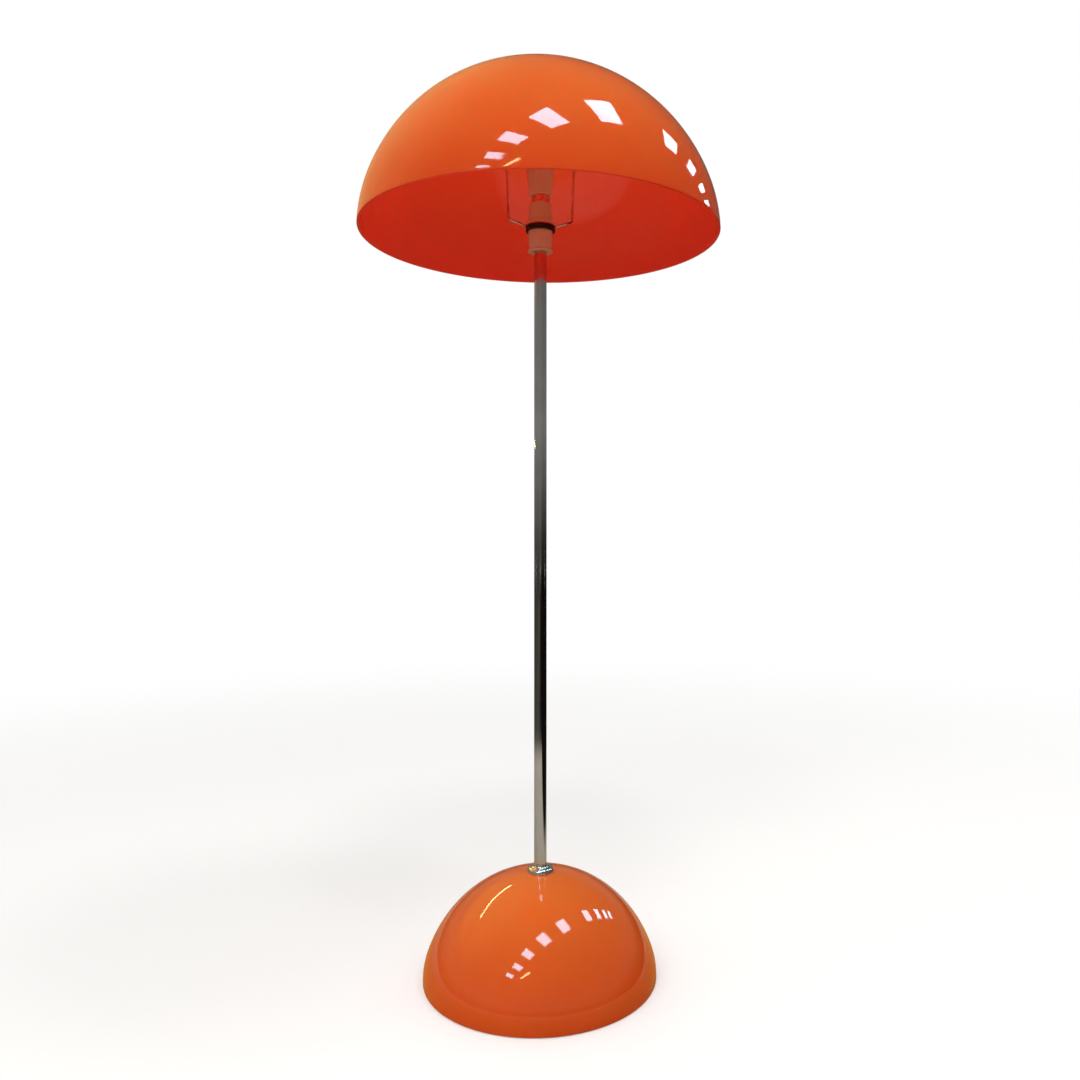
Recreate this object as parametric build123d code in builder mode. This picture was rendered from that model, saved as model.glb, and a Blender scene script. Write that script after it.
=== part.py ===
from build123d import *

import os
from math import asin, atan2, cos, degrees, radians, sin, sqrt

# Mushroom floor lamp: a domed shade on a straight chromed tube above a domed,
# weighted foot. Millimetres, +Z up, -Y is the front and +Y the back, where the
# supply cord would enter. The origin is on the floor, on the tube's axis.

os.makedirs("parts", exist_ok=True)

# ---------------------------------------------------------------- sizes
# Foot
foot_radius = 139.5  # moulded dome of the foot, at its rim
foot_crown_z = 125.0  # top of that dome above the floor
foot_wall = 3.0
foot_clear = 0.8  # rim above the floor
foot_lip = 4.2  # upright band above the rim
foot_shoulder = 72.0  # radius of the arc that turns the lip into the crown
foot_rim_wall = 1.5  # wall left where the rim hangs round the plate
foot_flat_radius = 15.0  # flat seat moulded round the crown hole
foot_hole_gap = 0.3  # crown hole round the tube
pad_thickness = 1.5  # felt under the plate
pad_inset = 4.0  # felt edge inside the dome's rim
plate_thickness = 2.0
plate_inset = 1.6  # plate edge inside the dome's rim
plate_hole_radius = 17.0  # spanner access to the tie bolt
weight_radius = 115.0
weight_thickness = 14.0
weight_edge = 2.0  # chamfer of the casting
hub_radius = 20.0
hub_rise = 14.0  # hub above the disc
socket_depth = 10.0  # how deep the tube stands in the hub
socket_gap = 0.1  # radial gap round the tube in its socket
well_radius = 15.0  # well for the bolt head
well_depth = 10.5

# Fasteners of the foot
tie_radius = 5.0  # M10 bolt that pulls the tube down
tie_gap = 0.25  # radial gap in the casting
tie_head_flats = 17.0
tie_head = 6.4
tie_washer = 1.6
tie_washer_radius = 10.0
tie_spring = 2.2
tie_spring_radius = 9.0
tie_reach = 31.2  # shank above the washers
thread_gap = 0.05  # radial gap left between the drawn threads
plate_screw_circle = 95.0
plate_screw_count = 3
plate_screw_radius = 1.5
plate_screw_head = 2.75
plate_screw_length = 8.0
screw_gap = 0.1  # radial gap of a screw in its hole

# Tube
pole_radius = 7.5
pole_wall = 1.2
pole_length = 855.8
bush_gap = 0.03  # radial gap of the pressed end bushes
foot_bush_length = 25.0
head_bush_length = 16.0
lead_hole_radius = 4.0  # side hole for the leads, inside the foot
lead_hole_z = 58.0

# Collar on the crown of the foot
collar_radius = 16.0
collar_height = 5.0
collar_top_radius = 10.6
collar_neck_radius = 8.1  # top of the cove that runs up the tube
collar_neck_height = 9.0
collar_gap = 0.1  # radial gap round the tube
collar_rim = 1.2  # upright edge under the dome of the collar
collar_skirt = 0.8  # how far the rim hangs below the gasket's top
gasket_thickness = 1.0
gasket_radius = 14.0
gasket_hole_gap = 0.5
grub_radius = 1.5
grub_length = 5.0
grub_height = 3.0  # its axis above the gasket

# Cord gland in the back wall
gland_z = 10.5
gland_hole_radius = 4.2
gland_bore_radius = 3.3
gland_flange_radius = 5.5
gland_flange = 1.6
gland_gap = 0.1  # radial gap in its hole
gland_grip = 1.1  # slack between the flanges, so they clear the curved wall

# Terminal block on the weight
block_width = 30.0
block_depth = 16.0
block_height = 14.0
block_y = 53.0  # middle of the block, behind the tube
block_way_pitch = 8.0
block_way_radius = 1.6
block_way_height = 5.0  # wire holes above the casting
block_well_radius = 2.1
block_clamp_offset = 4.0  # clamp screws each side of the middle
block_floor = 0.6  # cover left between a clamp well and its wire hole
clamp_screw_radius = 1.3
clamp_screw_head = 1.9
clamp_screw_head_height = 1.6
clamp_screw_gap = 0.1  # screw tip above the wire
block_screw_radius = 1.5
block_screw_head = 2.6
block_screw_head_height = 2.0
block_screw_depth = 7.0  # in the casting
block_screw_web = 8.0  # height of the ledge that the heads press on

# Leads
lead_radius = 1.0
lead_spread = 1.3  # each live lead from the axis, inside the tube
lead_block_bend = 8.0
lead_rise_bend = 8.0
lead_turn_bend = 5.0  # the turn up into the tube
lead_fan_bend = 4.0  # the two bends under the lampholder
lead_exit = 12.0  # straight run out of the block
lead_hole_stand = 18.5  # where the rising run ends, out from the tube
lead_bush_wall = 1.3
lead_bush_flange = 1.5
lead_bush_flange_radius = 5.2
lead_bush_gap = 0.1
earth_x = 34.0  # earth screw on the casting
earth_y = 30.0
earth_tag_radius = 4.5
earth_tag_thickness = 0.8
earth_barrel_radius = 1.9
earth_barrel_length = 6.0
earth_screw_radius = 2.0
earth_screw_head = 3.6
earth_screw_head_height = 2.4
earth_screw_depth = 8.0
earth_bend = 4.0

# Lampholder
nipple_bore_radius = 3.5
nipple_depth = 14.0  # thread inside the tube
cap_height = 24.6
cap_recess = 6.2  # how far the cap sits over the tube
cap_recess_gap = 0.3
cap_web = 2.5
cap_mouth_radius = 14.7
cap_waist_radius = 13.6
cap_bead_radius = 15.0
cap_bead = 1.7
cap_cove = 3.0
cap_wall = 2.0
ring_radius = 17.8
ring_height = 6.5
ring_groove = 0.8
hub_plate = 1.5  # sheet ring of the shade carrier
hub_plate_radius = 17.0
neck_gap = 0.1  # radial gap of the skirt's threaded neck
neck_depth = 14.7
neck_wall = 1.6
neck_ledge = 1.0
neck_ledge_width = 2.0
skirt_flange = 3.6
skirt_flange_radius = 16.8
skirt_floor = 3.3
skirt_radius = 14.75
skirt_wall = 1.0
skirt_taper = 1.45  # how much narrower the mouth is outside
skirt_lip_wall = 0.7  # wall at the mouth
skirt_height = 25.3  # above the sheet ring
insert_gap = 0.1  # radial gap of the contact block in the neck
insert_length = 20.0
barrel_gap = 0.3  # radial gap of the bulb's cap in the barrel
barrel_wall = 1.0
barrel_flange = 1.2
barrel_flange_gap = 0.15
barrel_drop = 1.0  # barrel's mouth below the skirt's
slot_width = 2.6
slot_turn = 22.0  # degrees from the locked place to the slot's entry
slot_rise = 0.1  # room above the pin at rest
slot_fall = 0.2  # room below the pin when pushed in
slot_side = 1.2  # room beside the pin, degrees
contact_offset = 5.0  # plungers from the axis
plunger_radius = 2.2
plunger_tip_radius = 1.5
plunger_body = 7.0
plunger_tip = 7.6
plunger_gap = 0.1
plunger_top_wall = 1.5
plunger_travel = 2.5
spring_length = 6.0
spring_radius = 1.9
spring_wall = 0.5
post_radius = 2.8
post_height = 4.2
post_spigot = 2.5
post_wire_depth = 3.4
post_wire_gap = 0.2
post_screw_radius = 1.0
post_screw_length = 3.0

# Bulb
bulb_cap_radius = 11.0
bulb_cap_wall = 0.5
bulb_cap_length = 24.6
pin_radius = 1.1
pin_reach = 12.7  # tips from the axis
pin_depth = 10.0  # inner ends from the axis
pin_height = 5.9  # above the cap's lower edge
insulator_radius = 9.5
insulator_drop = 0.9  # below the cap's edge
insulator_height = 2.4
contact_radius = 2.6
contact_thickness = 0.5
neck_start_radius = 13.4
neck_start_edge = 1.5  # rounding of the neck's lower edge
neck_mid_radius = 16.8
neck_mid_rise = 29.0
neck_rim_radius = 28.6
neck_rim_rise = 45.0
neck_rim_band = 3.0
housing_wall = 1.6
housing_spigot = 6.0
led_plate = 1.5
led_plate_gap = 0.1
led_count = 12
led_circle = 17.0
led_side = 3.0
led_height = 0.7
driver_width = 20.0
driver_thickness = 1.2
driver_foot = 2.0  # above the cap's upper edge
globe_radius = 30.0
globe_wall = 1.0

# Shade carrier
wire_radius = 1.5
wire_start = 18.6  # inner end of each arm
wire_corner_reach = 38.5
wire_corner_rise = 6.95
wire_lean = 4.9  # how far the upright runs lean out
wire_shoulder_drop = 26.5  # upper corners below the crown wire
wire_shelf = 20.0
wire_end = 9.0
wire_corner_bend = 4.0
wire_shoulder_bend = 10.0
wire_shelf_bend = 8.0
tab_width = 4.0
weld_gap = 0.5  # tab's end from the wire's
carrier_turn = 5.5  # carrier turned about the axis, degrees
carrier_height = 172.3  # sheet ring to crown disc
disc_radius = 22.0
disc_thickness = 1.5
disc_weld_gap = 0.02

# Shade
shade_radius = 216.0  # where its wall would stand upright
shade_height = 195.0
shade_wall = 3.0
shade_rise = 0.94 * shade_radius  # its curve from that level, which may lie below the rim
shade_shoulder = 0.815 * shade_radius
shade_edge = 1.2  # rounding of the rim
shade_flat_radius = 14.0
shade_boss_radius = 17.0
shade_boss = 3.0
shade_hole_gap = 0.25
seat_washer = 1.5
seat_washer_radius = 15.0
top_washer = 1.5
top_washer_radius = 13.0
stud_radius = 3.0
stud_head_flats = 10.0
stud_head = 4.0
stud_reach = 8.5  # thread above the top washer
finial_radius = 11.0
finial_height = 12.0
finial_edge = 3.5
finial_thread_spare = 1.0

# ---------------------------------------------------------------- levels
plate_z = pad_thickness
rim_z = plate_z + plate_thickness  # casting and dome stand on the plate
disc_top_z = rim_z + weight_thickness
hub_top_z = disc_top_z + hub_rise
pole_z = hub_top_z - socket_depth
pole_top_z = pole_z + pole_length
pole_bore = pole_radius - pole_wall
bush_radius = pole_bore - bush_gap
thread_radius = tie_radius + thread_gap

cap_z = pole_top_z - cap_recess
cap_web_top_z = pole_top_z + cap_web
cap_top_z = cap_z + cap_height
ring_top_z = cap_top_z + ring_height
skirt_z = ring_top_z + hub_plate
skirt_top_z = skirt_z + skirt_height
neck_z = skirt_z - neck_depth
neck_radius = cap_mouth_radius - cap_wall - neck_gap
neck_bore = neck_radius - neck_wall
insert_z = neck_z + neck_ledge
insert_top_z = insert_z + insert_length
insert_radius = neck_bore - insert_gap
spring_z = insert_z + post_spigot
plunger_z = spring_z + spring_length
plunger_top_z = plunger_z + plunger_body + plunger_tip
post_z = insert_z - post_height

bulb_contact_z = plunger_top_z
insulator_z = bulb_contact_z + contact_thickness
bulb_cap_z = insulator_z + insulator_drop
pin_z = bulb_cap_z + pin_height
housing_z = bulb_cap_z + bulb_cap_length
housing_rim_z = housing_z + neck_rim_rise
globe_z = housing_rim_z + neck_rim_band

disc_z = skirt_z + carrier_height
seat_z = disc_z + disc_thickness
boss_z = seat_z + seat_washer
shade_crown_z = boss_z + shade_boss + shade_wall
shade_z = shade_crown_z - shade_height


# ---------------------------------------------------------------- shared shapes
def dome_arcs(radius, rise, shoulder):
    """Centre height above the lip, radius and start angle of a dome's crown arc,
    tangent to a shoulder arc that starts upright at the lip's top."""
    reach = radius - shoulder
    crown = (rise**2 + reach**2 - shoulder**2) / (2 * (rise - shoulder))
    centre = rise - crown
    return centre, crown, degrees(atan2(-centre, reach))


def dome_height(radius, rise, shoulder, at_radius):
    """Height of the dome's crown arc above the lip's top, at a radius."""
    centre, crown, _ = dome_arcs(radius, rise, shoulder)
    return centre + sqrt(crown**2 - at_radius**2)


def dome_section(radius, rim, lip, crown_z, shoulder, wall):
    """Half section of a domed shell: an upright lip, a shoulder arc and a crown arc,
    with the inner side one wall inside the outer one all the way. Where the lip is
    negative, the rim cuts the shoulder arc that far above its upright start."""
    lip_z = rim + lip
    centre, crown, start = dome_arcs(radius, crown_z - lip_z, shoulder)
    outer_cut = degrees(asin(max(0.0, -lip) / shoulder))
    inner_cut = degrees(asin(max(0.0, -lip) / (shoulder - wall)))
    with BuildLine() as outline:
        outer_shoulder = CenterArc((radius - shoulder, lip_z), shoulder, outer_cut, start - outer_cut)
        outer_crown = CenterArc((0, lip_z + centre), crown, start, 90 - start)
        inner_shoulder = CenterArc((radius - shoulder, lip_z), shoulder - wall, inner_cut, start - inner_cut)
        inner_crown = CenterArc((0, lip_z + centre), crown - wall, start, 90 - start)
        Line(outer_crown @ 1, inner_crown @ 1)
        if lip > 0:
            Polyline(outer_shoulder @ 0, (radius, rim), (radius - wall, rim), inner_shoulder @ 0)
        else:
            Line(outer_shoulder @ 0, inner_shoulder @ 0)
    make_face(outline.edges())


def ring_at(height, outer, inner, thickness):
    """A flat ring, or a disc where inner is 0, pushed up from a level."""
    with BuildSketch(Plane.XY.offset(height)) as ring:
        Circle(outer)
        if inner > 0:
            Circle(inner, mode=Mode.SUBTRACT)
    extrude(ring.sketch, amount=thickness)


def facing(x, y, z, direction):
    """Plane through a point, with its normal along a direction."""
    return Plane(origin=(x, y, z), z_dir=direction)


# ---------------------------------------------------------------- foot
with BuildPart() as foot_pad:
    ring_at(0, foot_radius - pad_inset, 0, pad_thickness)
foot_pad.part.label = "foot_pad"
export_step(foot_pad.part, "parts/foot_pad.step")

# The countersunk screws lie flush in the plate, above the felt.
screw_cone = plate_screw_head - plate_screw_radius
with BuildPart() as foot_plate:
    ring_at(plate_z, foot_radius - plate_inset, plate_hole_radius, plate_thickness)
    with BuildSketch(Plane.XY.offset(plate_z)):
        with PolarLocations(plate_screw_circle, plate_screw_count):
            Circle(plate_screw_head + screw_gap)
    extrude(amount=screw_cone, taper=45, mode=Mode.SUBTRACT)
    with BuildSketch(Plane.XY.offset(plate_z)):
        with PolarLocations(plate_screw_circle, plate_screw_count):
            Circle(plate_screw_radius + screw_gap)
    extrude(amount=plate_thickness, mode=Mode.SUBTRACT)
foot_plate.part.label = "foot_plate"
export_step(foot_plate.part, "parts/foot_plate.step")

with BuildPart() as plate_screws:
    with BuildSketch(Plane.XY.offset(plate_z)):
        with PolarLocations(plate_screw_circle, plate_screw_count):
            Circle(plate_screw_head)
    extrude(amount=screw_cone, taper=45)
    with BuildSketch(Plane.XY.offset(plate_z)):
        with PolarLocations(plate_screw_circle, plate_screw_count):
            Circle(plate_screw_radius)
    extrude(amount=plate_screw_length)
plate_screws.part.label = "plate_screws"
export_step(plate_screws.part, "parts/plate_screws.step")

# Cast disc with a raised hub. The tube stands in the hub's socket, and the tie bolt
# comes up through it from a well in the underside.
with BuildPart() as foot_weight:
    ring_at(rim_z, weight_radius, 0, weight_thickness)
    chamfer(foot_weight.edges().filter_by(GeomType.CIRCLE), weight_edge)
    ring_at(disc_top_z, hub_radius, 0, hub_rise)
    with BuildSketch(Plane.XY.offset(rim_z)):
        Circle(well_radius)
    extrude(amount=well_depth, mode=Mode.SUBTRACT)
    with BuildSketch(Plane.XY.offset(rim_z)):
        Circle(tie_radius + tie_gap)
    extrude(amount=hub_top_z - rim_z, mode=Mode.SUBTRACT)
    with BuildSketch(Plane.XY.offset(pole_z)):
        Circle(pole_radius + socket_gap)
    extrude(amount=socket_depth, mode=Mode.SUBTRACT)
    with BuildSketch(Plane.XY.offset(rim_z)):
        with PolarLocations(plate_screw_circle, plate_screw_count):
            Circle(plate_screw_radius + screw_gap)
    extrude(amount=plate_screw_length, mode=Mode.SUBTRACT)
    with BuildSketch(Plane.XY.offset(disc_top_z)):
        with Locations((0, block_y)):
            with GridLocations(block_way_pitch, 0, 2, 1):
                Circle(block_screw_radius + screw_gap)
    extrude(amount=-block_screw_depth - screw_gap, mode=Mode.SUBTRACT)
    with BuildSketch(Plane.XY.offset(disc_top_z)):
        with Locations((earth_x, earth_y)):
            Circle(earth_screw_radius + screw_gap)
    extrude(amount=-earth_screw_depth - screw_gap, mode=Mode.SUBTRACT)
foot_weight.part.label = "foot_weight"
export_step(foot_weight.part, "parts/foot_weight.step")

# Moulded dome: a ledge inside its rim stands on the plate, and the rim hangs round the
# plate's edge almost to the floor. It has a flat seat and a clearance hole at the
# crown, and the hole for the cord gland in the back wall.
foot_lip_z = foot_clear + foot_lip
foot_seat_z = foot_lip_z + dome_height(foot_radius, foot_crown_z - foot_lip_z, foot_shoulder, foot_flat_radius)
with BuildPart() as foot_shell:
    with BuildSketch(Plane.XZ):
        dome_section(foot_radius, foot_clear, foot_lip, foot_crown_z, foot_shoulder, foot_wall)
    revolve(axis=Axis.Z)
    with BuildSketch(Plane.XY):
        Circle(foot_radius - foot_rim_wall)
    extrude(amount=rim_z, mode=Mode.SUBTRACT)
    with BuildSketch(Plane.XY.offset(foot_seat_z)):
        Circle(foot_flat_radius + foot_wall)
    extrude(amount=foot_wall, mode=Mode.SUBTRACT)
    with BuildSketch(Plane.XY.offset(foot_seat_z)):
        Circle(pole_radius + foot_hole_gap)
    extrude(amount=-2 * foot_wall, mode=Mode.SUBTRACT)
    with BuildSketch(facing(0, foot_radius + foot_wall, gland_z, (0, -1, 0))):
        Circle(gland_hole_radius)
    extrude(amount=3 * foot_wall, mode=Mode.SUBTRACT)
foot_shell.part.label = "foot_shell"
export_step(foot_shell.part, "parts/foot_shell.step")

# Rubber gland: a waist in the wall between two flanges, open right through.
gland_waist = foot_wall + gland_grip
with BuildPart() as cord_gland:
    with BuildSketch(facing(0, foot_radius + gland_flange, gland_z, (0, -1, 0))):
        Circle(gland_flange_radius)
    extrude(amount=gland_flange)
    with BuildSketch(facing(0, foot_radius, gland_z, (0, -1, 0))):
        Circle(gland_hole_radius - gland_gap)
    extrude(amount=gland_waist)
    with BuildSketch(facing(0, foot_radius - gland_waist, gland_z, (0, -1, 0))):
        Circle(gland_flange_radius)
    extrude(amount=gland_flange)
    with BuildSketch(facing(0, foot_radius + gland_flange, gland_z, (0, -1, 0))):
        Circle(gland_bore_radius)
    extrude(amount=gland_waist + 2 * gland_flange, mode=Mode.SUBTRACT)
cord_gland.part.label = "cord_gland"
export_step(cord_gland.part, "parts/cord_gland.step")

# ---------------------------------------------------------------- tube and its bolt
tie_seat_z = rim_z + well_depth
with BuildPart() as tie_washer_ring:
    ring_at(tie_seat_z - tie_washer, tie_washer_radius, tie_radius + tie_gap, tie_washer)
tie_washer_ring.part.label = "tie_washer"
export_step(tie_washer_ring.part, "parts/tie_washer.step")

tie_spring_z = tie_seat_z - tie_washer - tie_spring
with BuildPart() as tie_spring_washer:
    ring_at(tie_spring_z, tie_spring_radius, tie_radius + tie_gap, tie_spring)
    with BuildSketch(Plane.XY.offset(tie_spring_z)):
        with Locations((tie_spring_radius, 0)):
            Rectangle(tie_spring_radius, tie_spring / 2)
    extrude(amount=tie_spring, mode=Mode.SUBTRACT)
tie_spring_washer.part.label = "tie_spring_washer"
export_step(tie_spring_washer.part, "parts/tie_spring_washer.step")

with BuildPart() as tie_bolt:
    with BuildSketch(Plane.XY.offset(tie_spring_z - tie_head)):
        RegularPolygon(tie_head_flats / 2, 6, major_radius=False)
    extrude(amount=tie_head)
    with BuildSketch(Plane.XY.offset(tie_spring_z)):
        Circle(tie_radius)
    extrude(amount=tie_spring + tie_washer + tie_reach)
tie_bolt.part.label = "tie_bolt"
export_step(tie_bolt.part, "parts/tie_bolt.step")

with BuildPart() as pole_foot_bush:
    ring_at(pole_z, bush_radius, thread_radius, foot_bush_length)
pole_foot_bush.part.label = "pole_foot_bush"
export_step(pole_foot_bush.part, "parts/pole_foot_bush.step")

with BuildPart() as pole_tube:
    ring_at(pole_z, pole_radius, pole_bore, pole_length)
    with BuildSketch(facing(0, 0, lead_hole_z, (0, 1, 0))):
        Circle(lead_hole_radius)
    extrude(amount=2 * pole_radius, mode=Mode.SUBTRACT)
pole_tube.part.label = "pole_tube"
export_step(pole_tube.part, "parts/pole_tube.step")

with BuildPart() as pole_head_bush:
    ring_at(pole_top_z - head_bush_length, bush_radius, thread_radius, head_bush_length)
pole_head_bush.part.label = "pole_head_bush"
export_step(pole_head_bush.part, "parts/pole_head_bush.step")

# Soft bush that keeps the leads off the edge of the tube's side hole.
bush_out = lead_hole_radius - lead_bush_gap
with BuildPart() as lead_bush:
    with BuildSketch(facing(0, pole_radius, lead_hole_z, (0, 1, 0))):
        Circle(lead_bush_flange_radius)
    extrude(amount=lead_bush_flange)
    with BuildSketch(facing(0, pole_radius, lead_hole_z, (0, -1, 0))):
        Circle(bush_out)
    extrude(amount=pole_wall)
    with BuildSketch(facing(0, pole_radius + lead_bush_flange, lead_hole_z, (0, -1, 0))):
        Circle(bush_out - lead_bush_wall)
    extrude(amount=lead_bush_flange + pole_wall, mode=Mode.SUBTRACT)
lead_bush.part.label = "lead_bush"
export_step(lead_bush.part, "parts/lead_bush.step")

# ---------------------------------------------------------------- collar
with BuildPart() as collar_gasket:
    ring_at(foot_seat_z, gasket_radius, pole_radius + gasket_hole_gap, gasket_thickness)
collar_gasket.part.label = "collar_gasket"
export_step(collar_gasket.part, "parts/collar_gasket.step")

# A low chromed dome with a cove that runs up the tube: it hides the gasket and is
# held to the tube by a grub screw at the back.
collar_z = foot_seat_z + gasket_thickness
collar_bore = pole_radius + collar_gap
with BuildPart() as foot_collar:
    with BuildSketch(Plane.XZ):
        with BuildLine():
            ThreePointArc(
                (collar_top_radius, collar_z + collar_height),
                (
                    collar_neck_radius + 0.28 * (collar_top_radius - collar_neck_radius),
                    collar_z + 0.68 * collar_height + 0.32 * collar_neck_height,
                ),
                (collar_neck_radius, collar_z + collar_neck_height),
            )
            Polyline(
                (collar_neck_radius, collar_z + collar_neck_height),
                (collar_bore, collar_z + collar_neck_height),
                (collar_bore, collar_z),
                (gasket_radius + collar_gap, collar_z),
                (gasket_radius + collar_gap, collar_z - collar_skirt),
                (collar_radius, collar_z - collar_skirt),
                (collar_radius, collar_z - collar_skirt + collar_rim),
            )
            TangentArc(
                (collar_radius, collar_z - collar_skirt + collar_rim),
                (collar_top_radius, collar_z + collar_height),
                tangent=(0, 1),
            )
        make_face()
    revolve(axis=Axis.Z)
    with BuildSketch(facing(0, 0, collar_z + grub_height, (0, 1, 0))):
        Circle(grub_radius + thread_gap)
    extrude(amount=collar_radius, mode=Mode.SUBTRACT)
foot_collar.part.label = "foot_collar"
export_step(foot_collar.part, "parts/foot_collar.step")

with BuildPart() as collar_grub:
    with BuildSketch(facing(0, collar_bore, collar_z + grub_height, (0, 1, 0))):
        Circle(grub_radius)
    extrude(amount=grub_length)
collar_grub.part.label = "collar_grub"
export_step(collar_grub.part, "parts/collar_grub.step")

# ---------------------------------------------------------------- wiring in the foot
# Three-way block on the casting. Wires lie in through holes along Y, clamped by two
# screws a way; the block's own screws stand between the ways.
way_z = disc_top_z + block_way_height
clamp_floor_z = way_z + block_way_radius + block_floor
with BuildPart() as terminal_block:
    with BuildSketch(Plane.XY.offset(disc_top_z)):
        with Locations((0, block_y)):
            Rectangle(block_width, block_depth)
    extrude(amount=block_height)
    with BuildSketch(Plane.XZ.offset(-block_y - block_depth / 2)):
        with Locations((0, way_z)):
            with GridLocations(block_way_pitch, 0, 3, 1):
                Circle(block_way_radius)
    extrude(amount=block_depth, mode=Mode.SUBTRACT)
    with BuildSketch(Plane.XY.offset(disc_top_z + block_height)):
        with Locations((0, block_y)):
            with GridLocations(block_way_pitch, 2 * block_clamp_offset, 3, 2):
                Circle(block_well_radius)
    extrude(amount=-(disc_top_z + block_height - clamp_floor_z), mode=Mode.SUBTRACT)
    with BuildSketch(Plane.XY.offset(clamp_floor_z)):
        with Locations((0, block_y)):
            with GridLocations(block_way_pitch, 2 * block_clamp_offset, 3, 2):
                Circle(clamp_screw_radius + screw_gap)
    extrude(amount=way_z - clamp_floor_z, mode=Mode.SUBTRACT)
    with BuildSketch(Plane.XY.offset(disc_top_z)):
        with Locations((0, block_y)):
            with GridLocations(block_way_pitch, 0, 2, 1):
                Circle(block_screw_radius + screw_gap)
    extrude(amount=block_height, mode=Mode.SUBTRACT)
    with BuildSketch(Plane.XY.offset(disc_top_z + block_screw_web)):
        with Locations((0, block_y)):
            with GridLocations(block_way_pitch, 0, 2, 1):
                Circle(block_screw_head + screw_gap)
    extrude(amount=block_height, mode=Mode.SUBTRACT)
terminal_block.part.label = "terminal_block"
export_step(terminal_block.part, "parts/terminal_block.step")

clamp_tip_z = way_z + lead_radius + clamp_screw_gap
with BuildPart() as clamp_screws:
    with BuildSketch(Plane.XY.offset(clamp_tip_z)):
        with Locations((0, block_y)):
            with GridLocations(block_way_pitch, 2 * block_clamp_offset, 3, 2):
                Circle(clamp_screw_radius)
    extrude(amount=clamp_floor_z - clamp_tip_z + clamp_screw_head_height)
    with BuildSketch(Plane.XY.offset(clamp_floor_z)):
        with Locations((0, block_y)):
            with GridLocations(block_way_pitch, 2 * block_clamp_offset, 3, 2):
                Circle(clamp_screw_head)
    extrude(amount=clamp_screw_head_height)
clamp_screws.part.label = "clamp_screws"
export_step(clamp_screws.part, "parts/clamp_screws.step")

with BuildPart() as block_screws:
    with BuildSketch(Plane.XY.offset(disc_top_z + block_screw_web)):
        with Locations((0, block_y)):
            with GridLocations(block_way_pitch, 0, 2, 1):
                Circle(block_screw_head)
    extrude(amount=block_screw_head_height)
    with BuildSketch(Plane.XY.offset(disc_top_z + block_screw_web)):
        with Locations((0, block_y)):
            with GridLocations(block_way_pitch, 0, 2, 1):
                Circle(block_screw_radius)
    extrude(amount=-block_screw_web - block_screw_depth)
block_screws.part.label = "block_screws"
export_step(block_screws.part, "parts/block_screws.step")

# Crimped tag on the casting, its barrel turned towards the block.
barrel_z = disc_top_z + earth_barrel_radius
barrel_x = earth_x - earth_tag_radius
with BuildPart() as earth_tag:
    with BuildSketch(Plane.XY.offset(disc_top_z)):
        with Locations((earth_x, earth_y)):
            Circle(earth_tag_radius)
            Circle(earth_screw_radius + screw_gap, mode=Mode.SUBTRACT)
    extrude(amount=earth_tag_thickness)
    with BuildSketch(facing(barrel_x, earth_y, barrel_z, (-1, 0, 0))):
        Circle(earth_barrel_radius)
    extrude(amount=earth_barrel_length)
    with BuildSketch(Plane.XY.offset(disc_top_z)):
        with Locations((barrel_x, earth_y)):
            Rectangle(earth_tag_radius, 2 * earth_barrel_radius)
    extrude(amount=earth_tag_thickness)
    with BuildSketch(facing(barrel_x, earth_y, barrel_z, (-1, 0, 0))):
        Circle(lead_radius + thread_gap)
    extrude(amount=earth_barrel_length, mode=Mode.SUBTRACT)
earth_tag.part.label = "earth_tag"
export_step(earth_tag.part, "parts/earth_tag.step")

with BuildPart() as earth_screw:
    with BuildSketch(Plane.XY.offset(disc_top_z + earth_tag_thickness)):
        with Locations((earth_x, earth_y)):
            Circle(earth_screw_head)
    extrude(amount=earth_screw_head_height)
    with BuildSketch(Plane.XY.offset(disc_top_z + earth_tag_thickness)):
        with Locations((earth_x, earth_y)):
            Circle(earth_screw_radius)
    extrude(amount=-earth_tag_thickness - earth_screw_depth)
earth_screw.part.label = "earth_screw"
export_step(earth_screw.part, "parts/earth_screw.step")


def live_route(side):
    """Corners of a live lead: from its clamp in the block, up behind the tube, in
    through the bush, up the tube, and out to its terminal post."""
    block_x = side * block_way_pitch
    block_front = block_y - block_depth / 2
    tube_x = side * lead_spread
    return [
        (block_x, block_y, way_z),
        (block_x, block_front - lead_exit, way_z),
        (tube_x, pole_radius + lead_hole_stand, lead_hole_z),
        (tube_x, 0, lead_hole_z),
        (tube_x, 0, cap_web_top_z + lead_bush_gap),
        (side * contact_offset, 0, cap_web_top_z + lead_bush_gap + contact_offset - lead_spread),
        (side * contact_offset, 0, post_z + post_wire_depth - post_wire_gap),
    ]


live_bends = [lead_block_bend, lead_rise_bend, lead_turn_bend, lead_fan_bend, lead_fan_bend]

with BuildPart() as lead_brown:
    with BuildLine() as brown_route:
        FilletPolyline(*live_route(-1), radius=live_bends)
    with BuildSketch(Plane(origin=brown_route.line @ 0, z_dir=brown_route.line % 0)):
        Circle(lead_radius)
    sweep(path=brown_route.line)
lead_brown.part.label = "lead_brown"
export_step(lead_brown.part, "parts/lead_brown.step")

with BuildPart() as lead_blue:
    with BuildLine() as blue_route:
        FilletPolyline(*live_route(1), radius=live_bends)
    with BuildSketch(Plane(origin=blue_route.line @ 0, z_dir=blue_route.line % 0)):
        Circle(lead_radius)
    sweep(path=blue_route.line)
lead_blue.part.label = "lead_blue"
export_step(lead_blue.part, "parts/lead_blue.step")

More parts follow.
